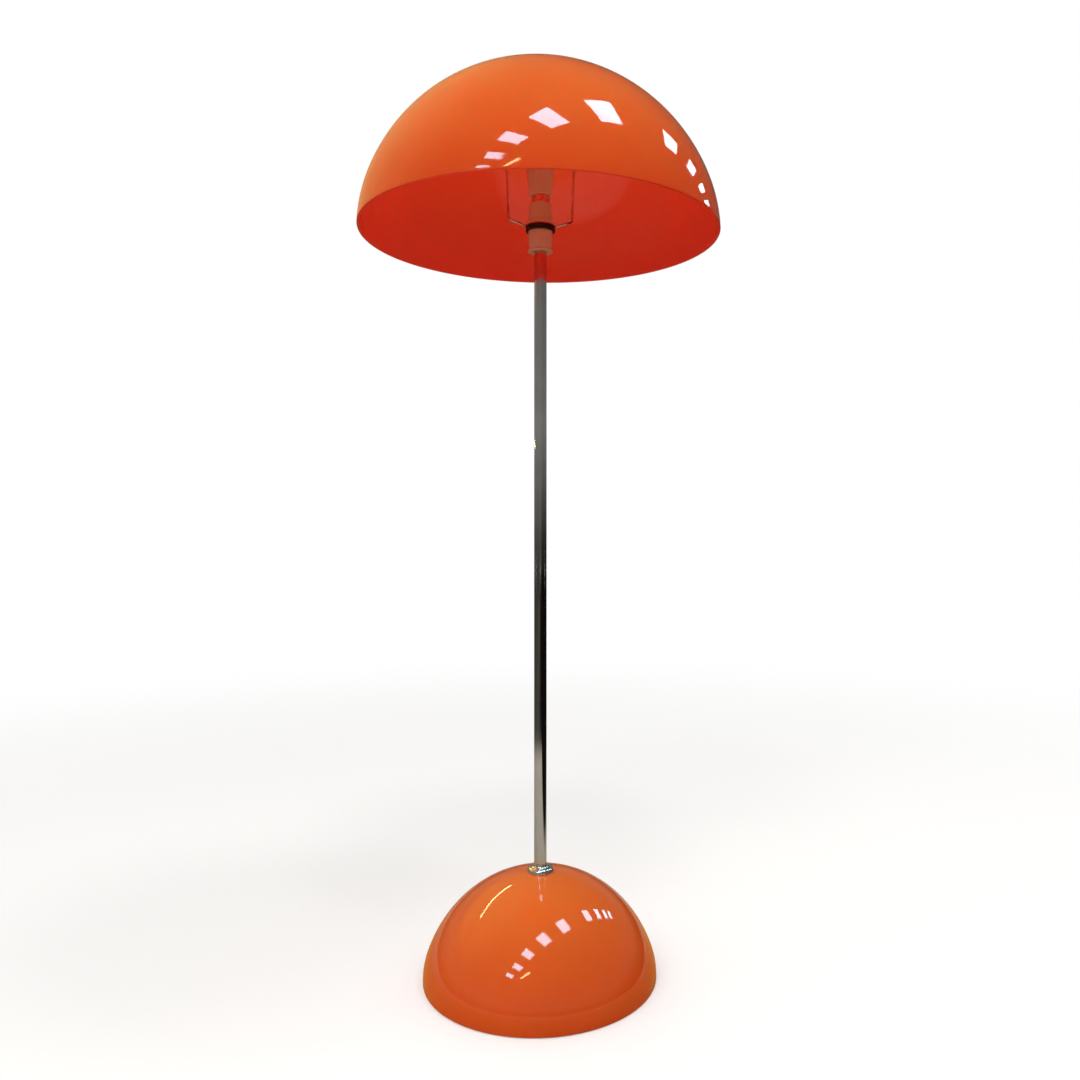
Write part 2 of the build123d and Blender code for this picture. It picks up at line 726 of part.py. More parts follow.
with BuildPart() as lead_earth:
    with BuildLine() as earth_route:
        FilletPolyline(
            (0, block_y, way_z),
            (0, block_y - block_depth / 2 - lead_exit / 2, way_z),
            (barrel_x - 2 * earth_barrel_length - lead_exit / 2, earth_y, barrel_z),
            (barrel_x - post_wire_gap, earth_y, barrel_z),
            radius=[earth_bend, earth_bend],
        )
    with BuildSketch(Plane(origin=earth_route.line @ 0, z_dir=earth_route.line % 0)):
        Circle(lead_radius)
    sweep(path=earth_route.line)
lead_earth.part.label = "lead_earth"
export_step(lead_earth.part, "parts/lead_earth.step")

# ---------------------------------------------------------------- lampholder
with BuildPart() as head_nipple:
    ring_at(pole_top_z - nipple_depth, tie_radius, nipple_bore_radius, nipple_depth + cap_web)
head_nipple.part.label = "head_nipple"
export_step(head_nipple.part, "parts/head_nipple.step")

# White cap over the tube's end: a rounded bead at the bottom, a cove, then a skirt
# that widens to the mouth, with a threaded web between its two hollows.
cap_chamber = cap_mouth_radius - cap_wall
bead_reach = cap_bead_radius - cap_bead / 2
with BuildPart() as holder_cap:
    with BuildSketch(Plane.XZ):
        with BuildLine():
            bead = ThreePointArc(
                (bead_reach, cap_z),
                (cap_bead_radius, cap_z + cap_bead / 2),
                (bead_reach, cap_z + cap_bead),
            )
            Polyline(
                bead @ 1,
                (cap_waist_radius, cap_z + cap_bead + cap_cove),
                (cap_mouth_radius, cap_top_z),
                (cap_chamber, cap_top_z),
                (cap_chamber, cap_web_top_z),
                (thread_radius, cap_web_top_z),
                (thread_radius, pole_top_z),
                (pole_radius + cap_recess_gap, pole_top_z),
                (pole_radius + cap_recess_gap, cap_z),
                bead @ 0,
            )
        make_face()
    revolve(axis=Axis.Z)
holder_cap.part.label = "holder_cap"
export_step(holder_cap.part, "parts/holder_cap.step")

# Black ring nut that traps the shade carrier, with a grip groove round its middle.
ring_bore = neck_radius + neck_gap
with BuildPart() as lock_ring:
    ring_at(cap_top_z, ring_radius, ring_bore, ring_height)
    with BuildSketch(Plane.XZ):
        with Locations((ring_radius, cap_top_z + ring_height / 2)):
            RegularPolygon(ring_groove, 4)
    revolve(axis=Axis.Z, mode=Mode.SUBTRACT)
lock_ring.part.label = "lock_ring"
export_step(lock_ring.part, "parts/lock_ring.step")

# Skirt of the holder: a threaded neck inside the cap, a thick flange over the carrier's
# sheet ring and a thin tapered wall round the bulb's cap.
skirt_bore = skirt_radius - skirt_wall
floor_z = skirt_z + skirt_floor
with BuildPart() as holder_skirt:
    with BuildSketch(Plane.XZ):
        with BuildLine():
            Polyline(
                (neck_bore - neck_ledge_width, neck_z),
                (neck_radius, neck_z),
                (neck_radius, skirt_z),
                (skirt_flange_radius, skirt_z),
                (skirt_flange_radius, skirt_z + skirt_flange),
                (skirt_radius, skirt_z + skirt_flange),
                (skirt_radius - skirt_taper, skirt_top_z),
                (skirt_radius - skirt_taper - skirt_lip_wall, skirt_top_z),
                (skirt_bore, floor_z),
                (neck_bore, floor_z),
                (neck_bore, insert_z),
                (neck_bore - neck_ledge_width, insert_z),
                close=True,
            )
        make_face()
    revolve(axis=Axis.Z)
    fillet(holder_skirt.edges().group_by(Axis.Z)[-1], skirt_lip_wall * 0.4)
holder_skirt.part.label = "holder_skirt"
export_step(holder_skirt.part, "parts/holder_skirt.step")

# Metal barrel with a flange on the skirt's floor and two L-shaped slots. A slot's
# arm lets its pin turn and drop, and its entry runs up to the mouth.
barrel_bore = bulb_cap_radius + barrel_gap
barrel_radius = barrel_bore + barrel_wall
barrel_top_z = skirt_top_z - barrel_drop
arm_low_z = pin_z - pin_radius - plunger_travel - slot_fall
arm_high_z = pin_z + pin_radius + slot_rise
arm_side = degrees(atan2(pin_radius, barrel_bore)) + slot_side
arm_reach = 2 * barrel_radius
arm_ends = [radians(-arm_side), radians(slot_turn + arm_side)]
with BuildPart() as holder_barrel:
    ring_at(floor_z, barrel_radius, barrel_bore, barrel_top_z - floor_z)
    ring_at(floor_z, skirt_bore - barrel_flange_gap, barrel_bore, barrel_flange)
    with BuildSketch(Plane.XY.offset(arm_low_z)):
        with PolarLocations(0, 2, start_angle=90):
            Polygon(
                (0, 0),
                (arm_reach * cos(arm_ends[0]), arm_reach * sin(arm_ends[0])),
                (arm_reach * cos(arm_ends[1]), arm_reach * sin(arm_ends[1])),
                align=None,
            )
    extrude(amount=arm_high_z - arm_low_z, mode=Mode.SUBTRACT)
    with BuildSketch(Plane.XY.offset(arm_low_z)):
        with PolarLocations(barrel_radius, 2, start_angle=90 + slot_turn):
            Rectangle(4 * barrel_wall, slot_width)
    extrude(amount=barrel_top_z - arm_low_z, mode=Mode.SUBTRACT)
holder_barrel.part.label = "holder_barrel"
export_step(holder_barrel.part, "parts/holder_barrel.step")

# Moulded block that carries the two sprung plungers, each in a bore that is wide
# below and narrow at the top.
bore_radius = plunger_radius + plunger_gap
with BuildPart() as holder_insert:
    ring_at(insert_z, insert_radius, 0, insert_length)
    with BuildSketch(Plane.XY.offset(insert_z)):
        with GridLocations(2 * contact_offset, 0, 2, 1):
            Circle(bore_radius)
    extrude(amount=insert_length - plunger_top_wall, mode=Mode.SUBTRACT)
    with BuildSketch(Plane.XY.offset(insert_z)):
        with GridLocations(2 * contact_offset, 0, 2, 1):
            Circle(plunger_tip_radius + plunger_gap)
    extrude(amount=insert_length, mode=Mode.SUBTRACT)
holder_insert.part.label = "holder_insert"
export_step(holder_insert.part, "parts/holder_insert.step")

with BuildPart() as holder_posts:
    with BuildSketch(Plane.XY.offset(post_z)):
        with GridLocations(2 * contact_offset, 0, 2, 1):
            Circle(post_radius)
    extrude(amount=post_height)
    with BuildSketch(Plane.XY.offset(insert_z)):
        with GridLocations(2 * contact_offset, 0, 2, 1):
            Circle(plunger_radius)
    extrude(amount=post_spigot)
    with BuildSketch(Plane.XY.offset(post_z)):
        with GridLocations(2 * contact_offset, 0, 2, 1):
            Circle(lead_radius + post_wire_gap)
    extrude(amount=post_wire_depth, mode=Mode.SUBTRACT)
    for side in (-1, 1):
        with BuildSketch(facing(side * contact_offset, 0, post_z + post_wire_depth / 2, (side, 0, 0))):
            Circle(post_screw_radius + thread_gap)
        extrude(amount=2 * post_radius, mode=Mode.SUBTRACT)
holder_posts.part.label = "holder_posts"
export_step(holder_posts.part, "parts/holder_posts.step")

post_screw_x = contact_offset + lead_radius + clamp_screw_gap
with BuildPart() as post_screws:
    for side in (-1, 1):
        with BuildSketch(facing(side * post_screw_x, 0, post_z + post_wire_depth / 2, (side, 0, 0))):
            Circle(post_screw_radius)
        extrude(amount=post_screw_length)
post_screws.part.label = "post_screws"
export_step(post_screws.part, "parts/post_screws.step")


def plunger_at(x):
    """A stepped contact: a body that slides in the bore and a tip that stands out."""
    with BuildSketch(Plane.XY.offset(plunger_z)) as body:
        with Locations((x, 0)):
            Circle(plunger_radius)
    extrude(body.sketch, amount=plunger_body)
    with BuildSketch(Plane.XY.offset(plunger_z + plunger_body)) as tip:
        with Locations((x, 0)):
            Circle(plunger_tip_radius)
    extrude(tip.sketch, amount=plunger_tip)


def spring_at(x):
    """A plunger's spring, drawn as the closed sleeve that its fine coils fill."""
    with BuildSketch(Plane.XY.offset(spring_z)) as sleeve:
        with Locations((x, 0)):
            Circle(spring_radius)
            Circle(spring_radius - spring_wall, mode=Mode.SUBTRACT)
    extrude(sleeve.sketch, amount=spring_length)


with BuildPart() as plunger_left:
    plunger_at(-contact_offset)
plunger_left.part.label = "plunger_left"
export_step(plunger_left.part, "parts/plunger_left.step")

with BuildPart() as plunger_right:
    plunger_at(contact_offset)
plunger_right.part.label = "plunger_right"
export_step(plunger_right.part, "parts/plunger_right.step")

with BuildPart() as spring_left:
    spring_at(-contact_offset)
spring_left.part.label = "spring_left"
export_step(spring_left.part, "parts/spring_left.step")

with BuildPart() as spring_right:
    spring_at(contact_offset)
spring_right.part.label = "spring_right"
export_step(spring_right.part, "parts/spring_right.step")

# ---------------------------------------------------------------- bulb
with BuildPart() as bulb_contacts:
    with BuildSketch(Plane.XY.offset(bulb_contact_z)):
        with GridLocations(2 * contact_offset, 0, 2, 1):
            Circle(contact_radius)
    extrude(amount=contact_thickness)
bulb_contacts.part.label = "bulb_contacts"
export_step(bulb_contacts.part, "parts/bulb_contacts.step")

with BuildPart() as bulb_insulator:
    ring_at(insulator_z, insulator_radius, 0, insulator_height)
bulb_insulator.part.label = "bulb_insulator"
export_step(bulb_insulator.part, "parts/bulb_insulator.step")

cap_bore = bulb_cap_radius - bulb_cap_wall
with BuildPart() as bulb_cap:
    ring_at(bulb_cap_z, bulb_cap_radius, cap_bore, bulb_cap_length)
    ring_at(bulb_cap_z, bulb_cap_radius, insulator_radius + thread_gap, bulb_cap_wall)
    with BuildSketch(facing(0, -bulb_cap_radius, pin_z, (0, 1, 0))):
        Circle(pin_radius + bush_gap)
    extrude(amount=2 * bulb_cap_radius, mode=Mode.SUBTRACT)
bulb_cap.part.label = "bulb_cap"
export_step(bulb_cap.part, "parts/bulb_cap.step")

with BuildPart() as bulb_pins:
    for side in (-1, 1):
        with BuildSketch(facing(0, side * pin_depth, pin_z, (0, side, 0))):
            Circle(pin_radius)
        extrude(amount=pin_reach - pin_depth)
bulb_pins.part.label = "bulb_pins"
export_step(bulb_pins.part, "parts/bulb_pins.step")

# Flared housing: a spigot in the metal cap, a cone, then an arc that opens to the
# band under the globe, with the inside one wall smaller all the way.
spigot_radius = cap_bore - thread_gap
mid_z = housing_z + neck_mid_rise
cone = (neck_mid_radius - neck_start_radius, neck_mid_rise - neck_start_edge)
edge_way = neck_start_edge * sqrt(0.5)
with BuildPart() as bulb_housing:
    with BuildSketch(Plane.XZ):
        with BuildLine():
            Polyline(
                (spigot_radius - housing_wall, housing_z + housing_wall),
                (spigot_radius - housing_wall, housing_z - housing_spigot),
                (spigot_radius, housing_z - housing_spigot),
                (spigot_radius, housing_z),
                (neck_start_radius - neck_start_edge, housing_z),
            )
            ThreePointArc(
                (neck_start_radius - neck_start_edge, housing_z),
                (neck_start_radius - neck_start_edge + edge_way, housing_z + neck_start_edge - edge_way),
                (neck_start_radius, housing_z + neck_start_edge),
            )
            Line((neck_start_radius, housing_z + neck_start_edge), (neck_mid_radius, mid_z))
            TangentArc((neck_mid_radius, mid_z), (neck_rim_radius, housing_rim_z), tangent=cone)
            Polyline(
                (neck_rim_radius, housing_rim_z),
                (neck_rim_radius, globe_z),
                (neck_rim_radius - housing_wall, globe_z),
                (neck_rim_radius - housing_wall, housing_rim_z),
            )
            TangentArc(
                (neck_mid_radius - housing_wall, mid_z),
                (neck_rim_radius - housing_wall, housing_rim_z),
                tangent=cone,
            )
            Polyline(
                (neck_mid_radius - housing_wall, mid_z),
                (neck_start_radius - housing_wall, housing_z + housing_wall),
                (spigot_radius - housing_wall, housing_z + housing_wall),
            )
        make_face()
    revolve(axis=Axis.Z)
bulb_housing.part.label = "bulb_housing"
export_step(bulb_housing.part, "parts/bulb_housing.step")

with BuildPart() as driver_board:
    with BuildSketch(Plane.XY.offset(housing_z + driver_foot)):
        Rectangle(driver_width, driver_thickness)
    extrude(amount=neck_rim_rise - driver_foot)
driver_board.part.label = "driver_board"
export_step(driver_board.part, "parts/driver_board.step")

with BuildPart() as led_board:
    ring_at(housing_rim_z, neck_rim_radius - housing_wall - led_plate_gap, 0, led_plate)
led_board.part.label = "led_board"
export_step(led_board.part, "parts/led_board.step")

with BuildPart() as led_chips:
    with BuildSketch(Plane.XY.offset(housing_rim_z + led_plate)):
        with PolarLocations(led_circle, led_count):
            Rectangle(led_side, led_side)
    extrude(amount=led_height)
led_chips.part.label = "led_chips"
export_step(led_chips.part, "parts/led_chips.step")

# Opal globe: most of a ball, cut off level where it meets the housing's band.
globe_sink = sqrt(globe_radius**2 - neck_rim_radius**2)
globe_inner = globe_radius - globe_wall
with BuildPart() as bulb_globe:
    with BuildSketch(Plane.XZ):
        with BuildLine():
            outer_low = -degrees(asin(globe_sink / globe_radius))
            inner_low = -degrees(asin(globe_sink / globe_inner))
            outer = CenterArc((0, globe_z + globe_sink), globe_radius, outer_low, 90 - outer_low)
            inner = CenterArc((0, globe_z + globe_sink), globe_inner, inner_low, 90 - inner_low)
            Line(outer @ 0, inner @ 0)
            Line(outer @ 1, inner @ 1)
        make_face()
    revolve(axis=Axis.Z)
bulb_globe.part.label = "bulb_globe"
export_step(bulb_globe.part, "parts/bulb_globe.step")

# ---------------------------------------------------------------- shade carrier
# Sheet ring with two short tabs, trapped between the ring nut and the skirt.
with BuildPart() as carrier_ring:
    ring_at(ring_top_z, hub_plate_radius, ring_bore, hub_plate)
    with BuildSketch(Plane.XY.offset(ring_top_z)):
        with PolarLocations((hub_plate_radius + ring_bore) / 2, 2, start_angle=carrier_turn):
            Rectangle(
                wire_start - weld_gap - (hub_plate_radius + ring_bore) / 2,
                tab_width,
                align=(Align.MIN, Align.CENTER),
            )
    extrude(amount=hub_plate)
carrier_ring.part.label = "carrier_ring"
export_step(carrier_ring.part, "parts/carrier_ring.step")


def arm_route(turn):
    """Corners of one wire arm, in the upright plane at an angle about the axis."""
    start_z = ring_top_z + hub_plate / 2
    top_z = disc_z - wire_radius - disc_weld_gap
    corners = [
        (wire_start, start_z),
        (wire_corner_reach, start_z + wire_corner_rise),
        (wire_corner_reach + wire_lean, top_z - wire_shoulder_drop),
        (wire_shelf, top_z),
        (wire_end, top_z),
    ]
    return [(reach * cos(radians(turn)), reach * sin(radians(turn)), z) for reach, z in corners]


arm_bends = [wire_corner_bend, wire_shoulder_bend, wire_shelf_bend]

with BuildPart() as carrier_arm_right:
    with BuildLine() as right_route:
        FilletPolyline(*arm_route(carrier_turn), radius=arm_bends)
    with BuildSketch(Plane(origin=right_route.line @ 0, z_dir=right_route.line % 0)):
        Circle(wire_radius)
    sweep(path=right_route.line)
carrier_arm_right.part.label = "carrier_arm_right"
export_step(carrier_arm_right.part, "parts/carrier_arm_right.step")

with BuildPart() as carrier_arm_left:
    with BuildLine() as left_route:
        FilletPolyline(*arm_route(carrier_turn + 180), radius=arm_bends)
    with BuildSketch(Plane(origin=left_route.line @ 0, z_dir=left_route.line % 0)):
        Circle(wire_radius)
    sweep(path=left_route.line)
carrier_arm_left.part.label = "carrier_arm_left"
export_step(carrier_arm_left.part, "parts/carrier_arm_left.step")

with BuildPart() as carrier_disc:
    ring_at(disc_z, disc_radius, stud_radius + screw_gap, disc_thickness)
carrier_disc.part.label = "carrier_disc"
export_step(carrier_disc.part, "parts/carrier_disc.step")

# ---------------------------------------------------------------- shade
with BuildPart() as shade_seat_washer:
    ring_at(seat_z, seat_washer_radius, stud_radius + screw_gap, seat_washer)
shade_seat_washer.part.label = "shade_seat_washer"
export_step(shade_seat_washer.part, "parts/shade_seat_washer.step")

# Moulded dome, open below, with a boss inside its crown and a flat outside it.
shade_lip = shade_height - shade_rise
shade_flat_z = shade_z + shade_lip + dome_height(shade_radius, shade_rise, shade_shoulder, shade_flat_radius)
with BuildPart() as shade_shell:
    with BuildSketch(Plane.XZ):
        dome_section(shade_radius, shade_z, shade_lip, shade_crown_z, shade_shoulder, shade_wall)
    revolve(axis=Axis.Z)
    fillet(shade_shell.edges().group_by(Axis.Z)[0], shade_edge)
    with BuildSketch(Plane.XY.offset(boss_z)):
        Circle(shade_boss_radius)
    extrude(amount=shade_boss + shade_wall / 2)
    with BuildSketch(Plane.XY.offset(shade_flat_z)):
        Circle(shade_flat_radius + shade_wall)
    extrude(amount=shade_wall, mode=Mode.SUBTRACT)
    with BuildSketch(Plane.XY.offset(boss_z)):
        Circle(stud_radius + shade_hole_gap)
    extrude(amount=shade_boss + shade_wall, mode=Mode.SUBTRACT)
shade_shell.part.label = "shade_shell"
export_step(shade_shell.part, "parts/shade_shell.step")

with BuildPart() as shade_top_washer:
    ring_at(shade_flat_z, top_washer_radius, stud_radius + screw_gap, top_washer)
shade_top_washer.part.label = "shade_top_washer"
export_step(shade_top_washer.part, "parts/shade_top_washer.step")

finial_z = shade_flat_z + top_washer
with BuildPart() as shade_stud:
    with BuildSketch(Plane.XY.offset(disc_z - stud_head)):
        RegularPolygon(stud_head_flats / 2, 6, major_radius=False)
    extrude(amount=stud_head)
    with BuildSketch(Plane.XY.offset(disc_z)):
        Circle(stud_radius)
    extrude(amount=finial_z + stud_reach - disc_z)
shade_stud.part.label = "shade_stud"
export_step(shade_stud.part, "parts/shade_stud.step")

with BuildPart() as shade_finial:
    ring_at(finial_z, finial_radius, 0, finial_height)
    fillet(shade_finial.edges().group_by(Axis.Z)[-1], finial_edge)
    with BuildSketch(Plane.XY.offset(finial_z)):
        Circle(stud_radius + thread_gap)
    extrude(amount=stud_reach + finial_thread_spare, mode=Mode.SUBTRACT)
shade_finial.part.label = "shade_finial"
export_step(shade_finial.part, "parts/shade_finial.step")
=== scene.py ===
import math

import bpy
import numpy as np
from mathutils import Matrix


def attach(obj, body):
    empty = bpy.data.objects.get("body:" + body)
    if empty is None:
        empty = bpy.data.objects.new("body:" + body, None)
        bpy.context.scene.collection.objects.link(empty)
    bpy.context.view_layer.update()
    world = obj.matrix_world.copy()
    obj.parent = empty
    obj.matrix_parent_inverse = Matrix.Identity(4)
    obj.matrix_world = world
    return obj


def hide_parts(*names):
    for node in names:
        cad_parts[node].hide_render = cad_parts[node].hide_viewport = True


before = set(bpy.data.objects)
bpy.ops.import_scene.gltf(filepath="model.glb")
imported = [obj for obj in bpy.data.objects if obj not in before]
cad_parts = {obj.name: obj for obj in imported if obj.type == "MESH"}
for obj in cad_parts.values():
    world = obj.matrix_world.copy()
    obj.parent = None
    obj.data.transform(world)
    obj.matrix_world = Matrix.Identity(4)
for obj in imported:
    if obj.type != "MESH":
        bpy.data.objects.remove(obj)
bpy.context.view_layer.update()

# ---------------------------------------------------------------- the photographer's place
# A level camera a little over a metre in front of the lamp, at half its height, turned
# a touch to the right. The frame is slid a little so that the lamp stands in its middle.
camera = bpy.data.cameras.new("front_camera")
camera.sensor_width = 36.0
camera.lens = 30.584
camera.shift_x = -0.04568
camera.shift_y = -0.01994
camera.clip_start = 0.02
camera.clip_end = 100.0
tilted_up = 0.0026
turned_right = 0.0533
stand_point = bpy.data.objects.new("front_camera", camera)
stand_point.location = (0.0, -1.1100, 0.5466)
stand_point.rotation_euler = (math.radians(90.0) + tilted_up, 0.0, -turned_right)
bpy.context.scene.collection.objects.link(stand_point)
bpy.context.scene.camera = stand_point
bpy.context.scene.view_settings.view_transform = "Standard"


# ---------------------------------------------------------------- felt pad under the foot
# A disc of pressed wool felt, glued under the steel plate so that the lamp neither
# scratches the floor nor slides. Its fibres lie in every direction.
def add_node(tree, kind, **values):
    """One shader node, with plain settings as attributes and input values by name."""
    node = tree.nodes.new(kind)
    for name, value in values.items():
        if hasattr(node, name):
            setattr(node, name, value)
        else:
            node.inputs[name.replace("_", " ")].default_value = value
    return node


def colour_mix(tree):
    """A colour mix node with its factor, its two colours and its result."""
    node = tree.nodes.new("ShaderNodeMix")
    node.data_type = "RGBA"
    return node, node.inputs[0], node.inputs[6], node.inputs[7], node.outputs[2]


def material_for(name, colour, roughness, metallic=0.0, **plain):
    """A material with its surface shader and an object coordinate; plain values go
    straight onto the shader's own sockets."""
    made = bpy.data.materials.new(name)
    made.use_nodes = True
    tree = made.node_tree
    shader = tree.nodes["Principled BSDF"]
    shader.inputs["Base Color"].default_value = (*colour, 1.0)
    shader.inputs["Roughness"].default_value = roughness
    shader.inputs["Metallic"].default_value = metallic
    for socket, value in plain.items():
        shader.inputs[socket.replace("_", " ")].default_value = value
    made.diffuse_color = (*colour, 1.0)
    return made, tree, shader, add_node(tree, "ShaderNodeTexCoord").outputs["Object"]


def dress(material, *names):
    """Gives CAD pieces one material all over."""
    for name in names:
        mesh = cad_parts[name].data
        mesh.materials.clear()
        mesh.materials.append(material)


def group_of(name, inputs, outputs):
    """An empty shader node group with named inputs and outputs, both ends ready."""
    made = bpy.data.node_groups.new(name, "ShaderNodeTree")
    for socket, kind, value in inputs:
        made.interface.new_socket(socket, in_out="INPUT", socket_type=kind)
        if value is not None:
            made.interface.items_tree[socket].default_value = value
    for socket, kind in outputs:
        made.interface.new_socket(socket, in_out="OUTPUT", socket_type=kind)
    return made, made.nodes.new("NodeGroupInput"), made.nodes.new("NodeGroupOutput")


def placed(tree, group, **values):
    """A node that uses a group, with its inputs set by name."""
    node = tree.nodes.new("ShaderNodeGroup")
    node.node_tree = group
    for name, value in values.items():
        node.inputs[name.replace("_", " ")].default_value = value
    return node


# Tone drift: the colour wanders a little, lighter and darker, over soft patches.
tone_drift, drift_in, drift_out = group_of(
    "tone_drift",
    [("Place", "NodeSocketVector", None), ("Light", "NodeSocketColor", None),
     ("Dark", "NodeSocketColor", None), ("Patch", "NodeSocketFloat", 8.0)],
    [("Colour", "NodeSocketColor")],
)
patch = add_node(tone_drift, "ShaderNodeTexNoise", Detail=3.0, Roughness=0.55)
spread = add_node(tone_drift, "ShaderNodeMapRange", From_Min=0.35, From_Max=0.65)
_, blend_by, blend_light, blend_dark, blend_colour = colour_mix(tone_drift)
tone_drift.links.new(drift_in.outputs["Place"], patch.inputs["Vector"])
tone_drift.links.new(drift_in.outputs["Patch"], patch.inputs["Scale"])
tone_drift.links.new(patch.outputs["Fac"], spread.inputs["Value"])
tone_drift.links.new(spread.outputs["Result"], blend_by)
tone_drift.links.new(drift_in.outputs["Light"], blend_light)
tone_drift.links.new(drift_in.outputs["Dark"], blend_dark)
tone_drift.links.new(blend_colour, drift_out.inputs["Colour"])


def drifting(tree, shader, place, light, dark, patch_scale):
    """Lays the tone drift between two close colours onto a material."""
    node = placed(tree, tone_drift, Light=(*light, 1.0), Dark=(*dark, 1.0), Patch=patch_scale)
    tree.links.new(place, node.inputs["Place"])
    tree.links.new(node.outputs["Colour"], shader.inputs["Base Color"])


def bumped(tree, shader, height, strength, distance):
    """Feeds a height through a Bump node into the surface."""
    bump = add_node(tree, "ShaderNodeBump", Strength=strength, Distance=distance)
    tree.links.new(height, bump.inputs["Height"])
    tree.links.new(bump.outputs["Normal"], shader.inputs["Normal"])


felt, tree, shader, place = material_for(
    "pressed_felt", (0.02, 0.018, 0.016), 0.95, Sheen_Weight=0.25, Sheen_Roughness=0.6)
drifting(tree, shader, place, (0.028, 0.025, 0.022), (0.012, 0.011, 0.010), 60.0)
fibres = add_node(tree, "ShaderNodeTexNoise", Scale=1400.0, Detail=4.0, Roughness=0.7, Distortion=1.6)
tree.links.new(place, fibres.inputs["Vector"])
bumped(tree, shader, fibres.outputs["Fac"], 0.8, 0.0004)
dress(felt, "foot_pad")

# ---------------------------------------------------------------- plate under the foot
# Laser cut sheet steel with satin black paint, held to the casting by three flush
# screws. The moulded dome stands on its edge.

# Fine marks: very small hairlines in two slants.
fine_marks, marks_in, marks_out = group_of(
    "fine_marks",
    [("Place", "NodeSocketVector", None), ("Size", "NodeSocketFloat", 1.0)],
    [("Hairlines", "NodeSocketFloat")],
)
sized = add_node(fine_marks, "ShaderNodeVectorMath", operation="SCALE")
fine_marks.links.new(marks_in.outputs["Place"], sized.inputs[0])
fine_marks.links.new(marks_in.outputs["Size"], sized.inputs["Scale"])
slant_lines = []
for turn, stretch in (((0.4, 0.2, 0.7), (240.0, 9.0, 9.0)), ((-0.3, 0.9, 2.1), (9.0, 200.0, 9.0))):
    lean = add_node(fine_marks, "ShaderNodeMapping", Rotation=turn, Scale=stretch)
    lines = add_node(fine_marks, "ShaderNodeTexNoise", Scale=3.0, Detail=2.0, Roughness=0.5, Distortion=0.4)
    thin = add_node(fine_marks, "ShaderNodeMapRange", From_Min=0.64, From_Max=0.74)
    fine_marks.links.new(sized.outputs["Vector"], lean.inputs["Vector"])
    fine_marks.links.new(lean.outputs["Vector"], lines.inputs["Vector"])
    fine_marks.links.new(lines.outputs["Fac"], thin.inputs["Value"])
    slant_lines.append(thin)
both = add_node(fine_marks, "ShaderNodeMath", operation="MAXIMUM")
fine_marks.links.new(slant_lines[0].outputs["Result"], both.inputs[0])
fine_marks.links.new(slant_lines[1].outputs["Result"], both.inputs[1])
fine_marks.links.new(both.outputs["Value"], marks_out.inputs["Hairlines"])


def marked(tree, shader, place, clean, worn, size=1.0):
    """Roughness that runs from a clean value to a worn one along the hairlines."""
    node = placed(tree, fine_marks, Size=size)
    rough = add_node(tree, "ShaderNodeMapRange", To_Min=clean, To_Max=worn)
    tree.links.new(place, node.inputs["Place"])
    tree.links.new(node.outputs["Hairlines"], rough.inputs["Value"])
    tree.links.new(rough.outputs["Result"], shader.inputs["Roughness"])


satin_black, tree, shader, place = material_for(
    "satin_black_steel", (0.02, 0.02, 0.021), 0.45, Specular_IOR_Level=0.5)
drifting(tree, shader, place, (0.024, 0.024, 0.025), (0.015, 0.015, 0.016), 22.0)
marked(tree, shader, place, 0.42, 0.6)
dress(satin_black, "foot_plate")

zinc, tree, shader, place = material_for("zinc_plated_steel", (0.52, 0.52, 0.5), 0.32, metallic=1.0)
drifting(tree, shader, place, (0.56, 0.56, 0.53), (0.44, 0.44, 0.43), 90.0)
marked(tree, shader, place, 0.28, 0.5, 3.0)
dress(zinc, "plate_screws")

# ---------------------------------------------------------------- weight
# Grey iron cast in sand, dipped in dark primer. It is out of sight in the dome and
# keeps the tall lamp from tipping.
iron, tree, shader, place = material_for("cast_iron_primer", (0.05, 0.05, 0.05), 0.7, metallic=0.0)
drifting(tree, shader, place, (0.07, 0.065, 0.06), (0.035, 0.034, 0.034), 30.0)
sand = add_node(tree, "ShaderNodeTexNoise", Scale=700.0, Detail=5.0, Roughness=0.65)
tree.links.new(place, sand.inputs["Vector"])
bumped(tree, shader, sand.outputs["Fac"], 0.7, 0.0006)
dress(iron, "foot_weight")
dress(zinc, "tie_bolt", "tie_washer", "tie_spring_washer", "pole_foot_bush", "pole_head_bush", "block_screws",
      "earth_screw", "collar_grub", "shade_stud")


# ---------------------------------------------------------------- domed foot
# Heavy gauge orange acrylic, blown into a dome and polished. A ledge inside its rim
# stands on the plate, and the crown has a flat seat with a hole for the tube.
def arc_points(centre, radius, start, end, count):
    """Points (radius, height) on a circle's arc between two angles in degrees."""
    turn = np.radians(np.linspace(start, end, count))
    return np.stack([centre[0] + radius * np.cos(turn), centre[1] + radius * np.sin(turn)], axis=1)


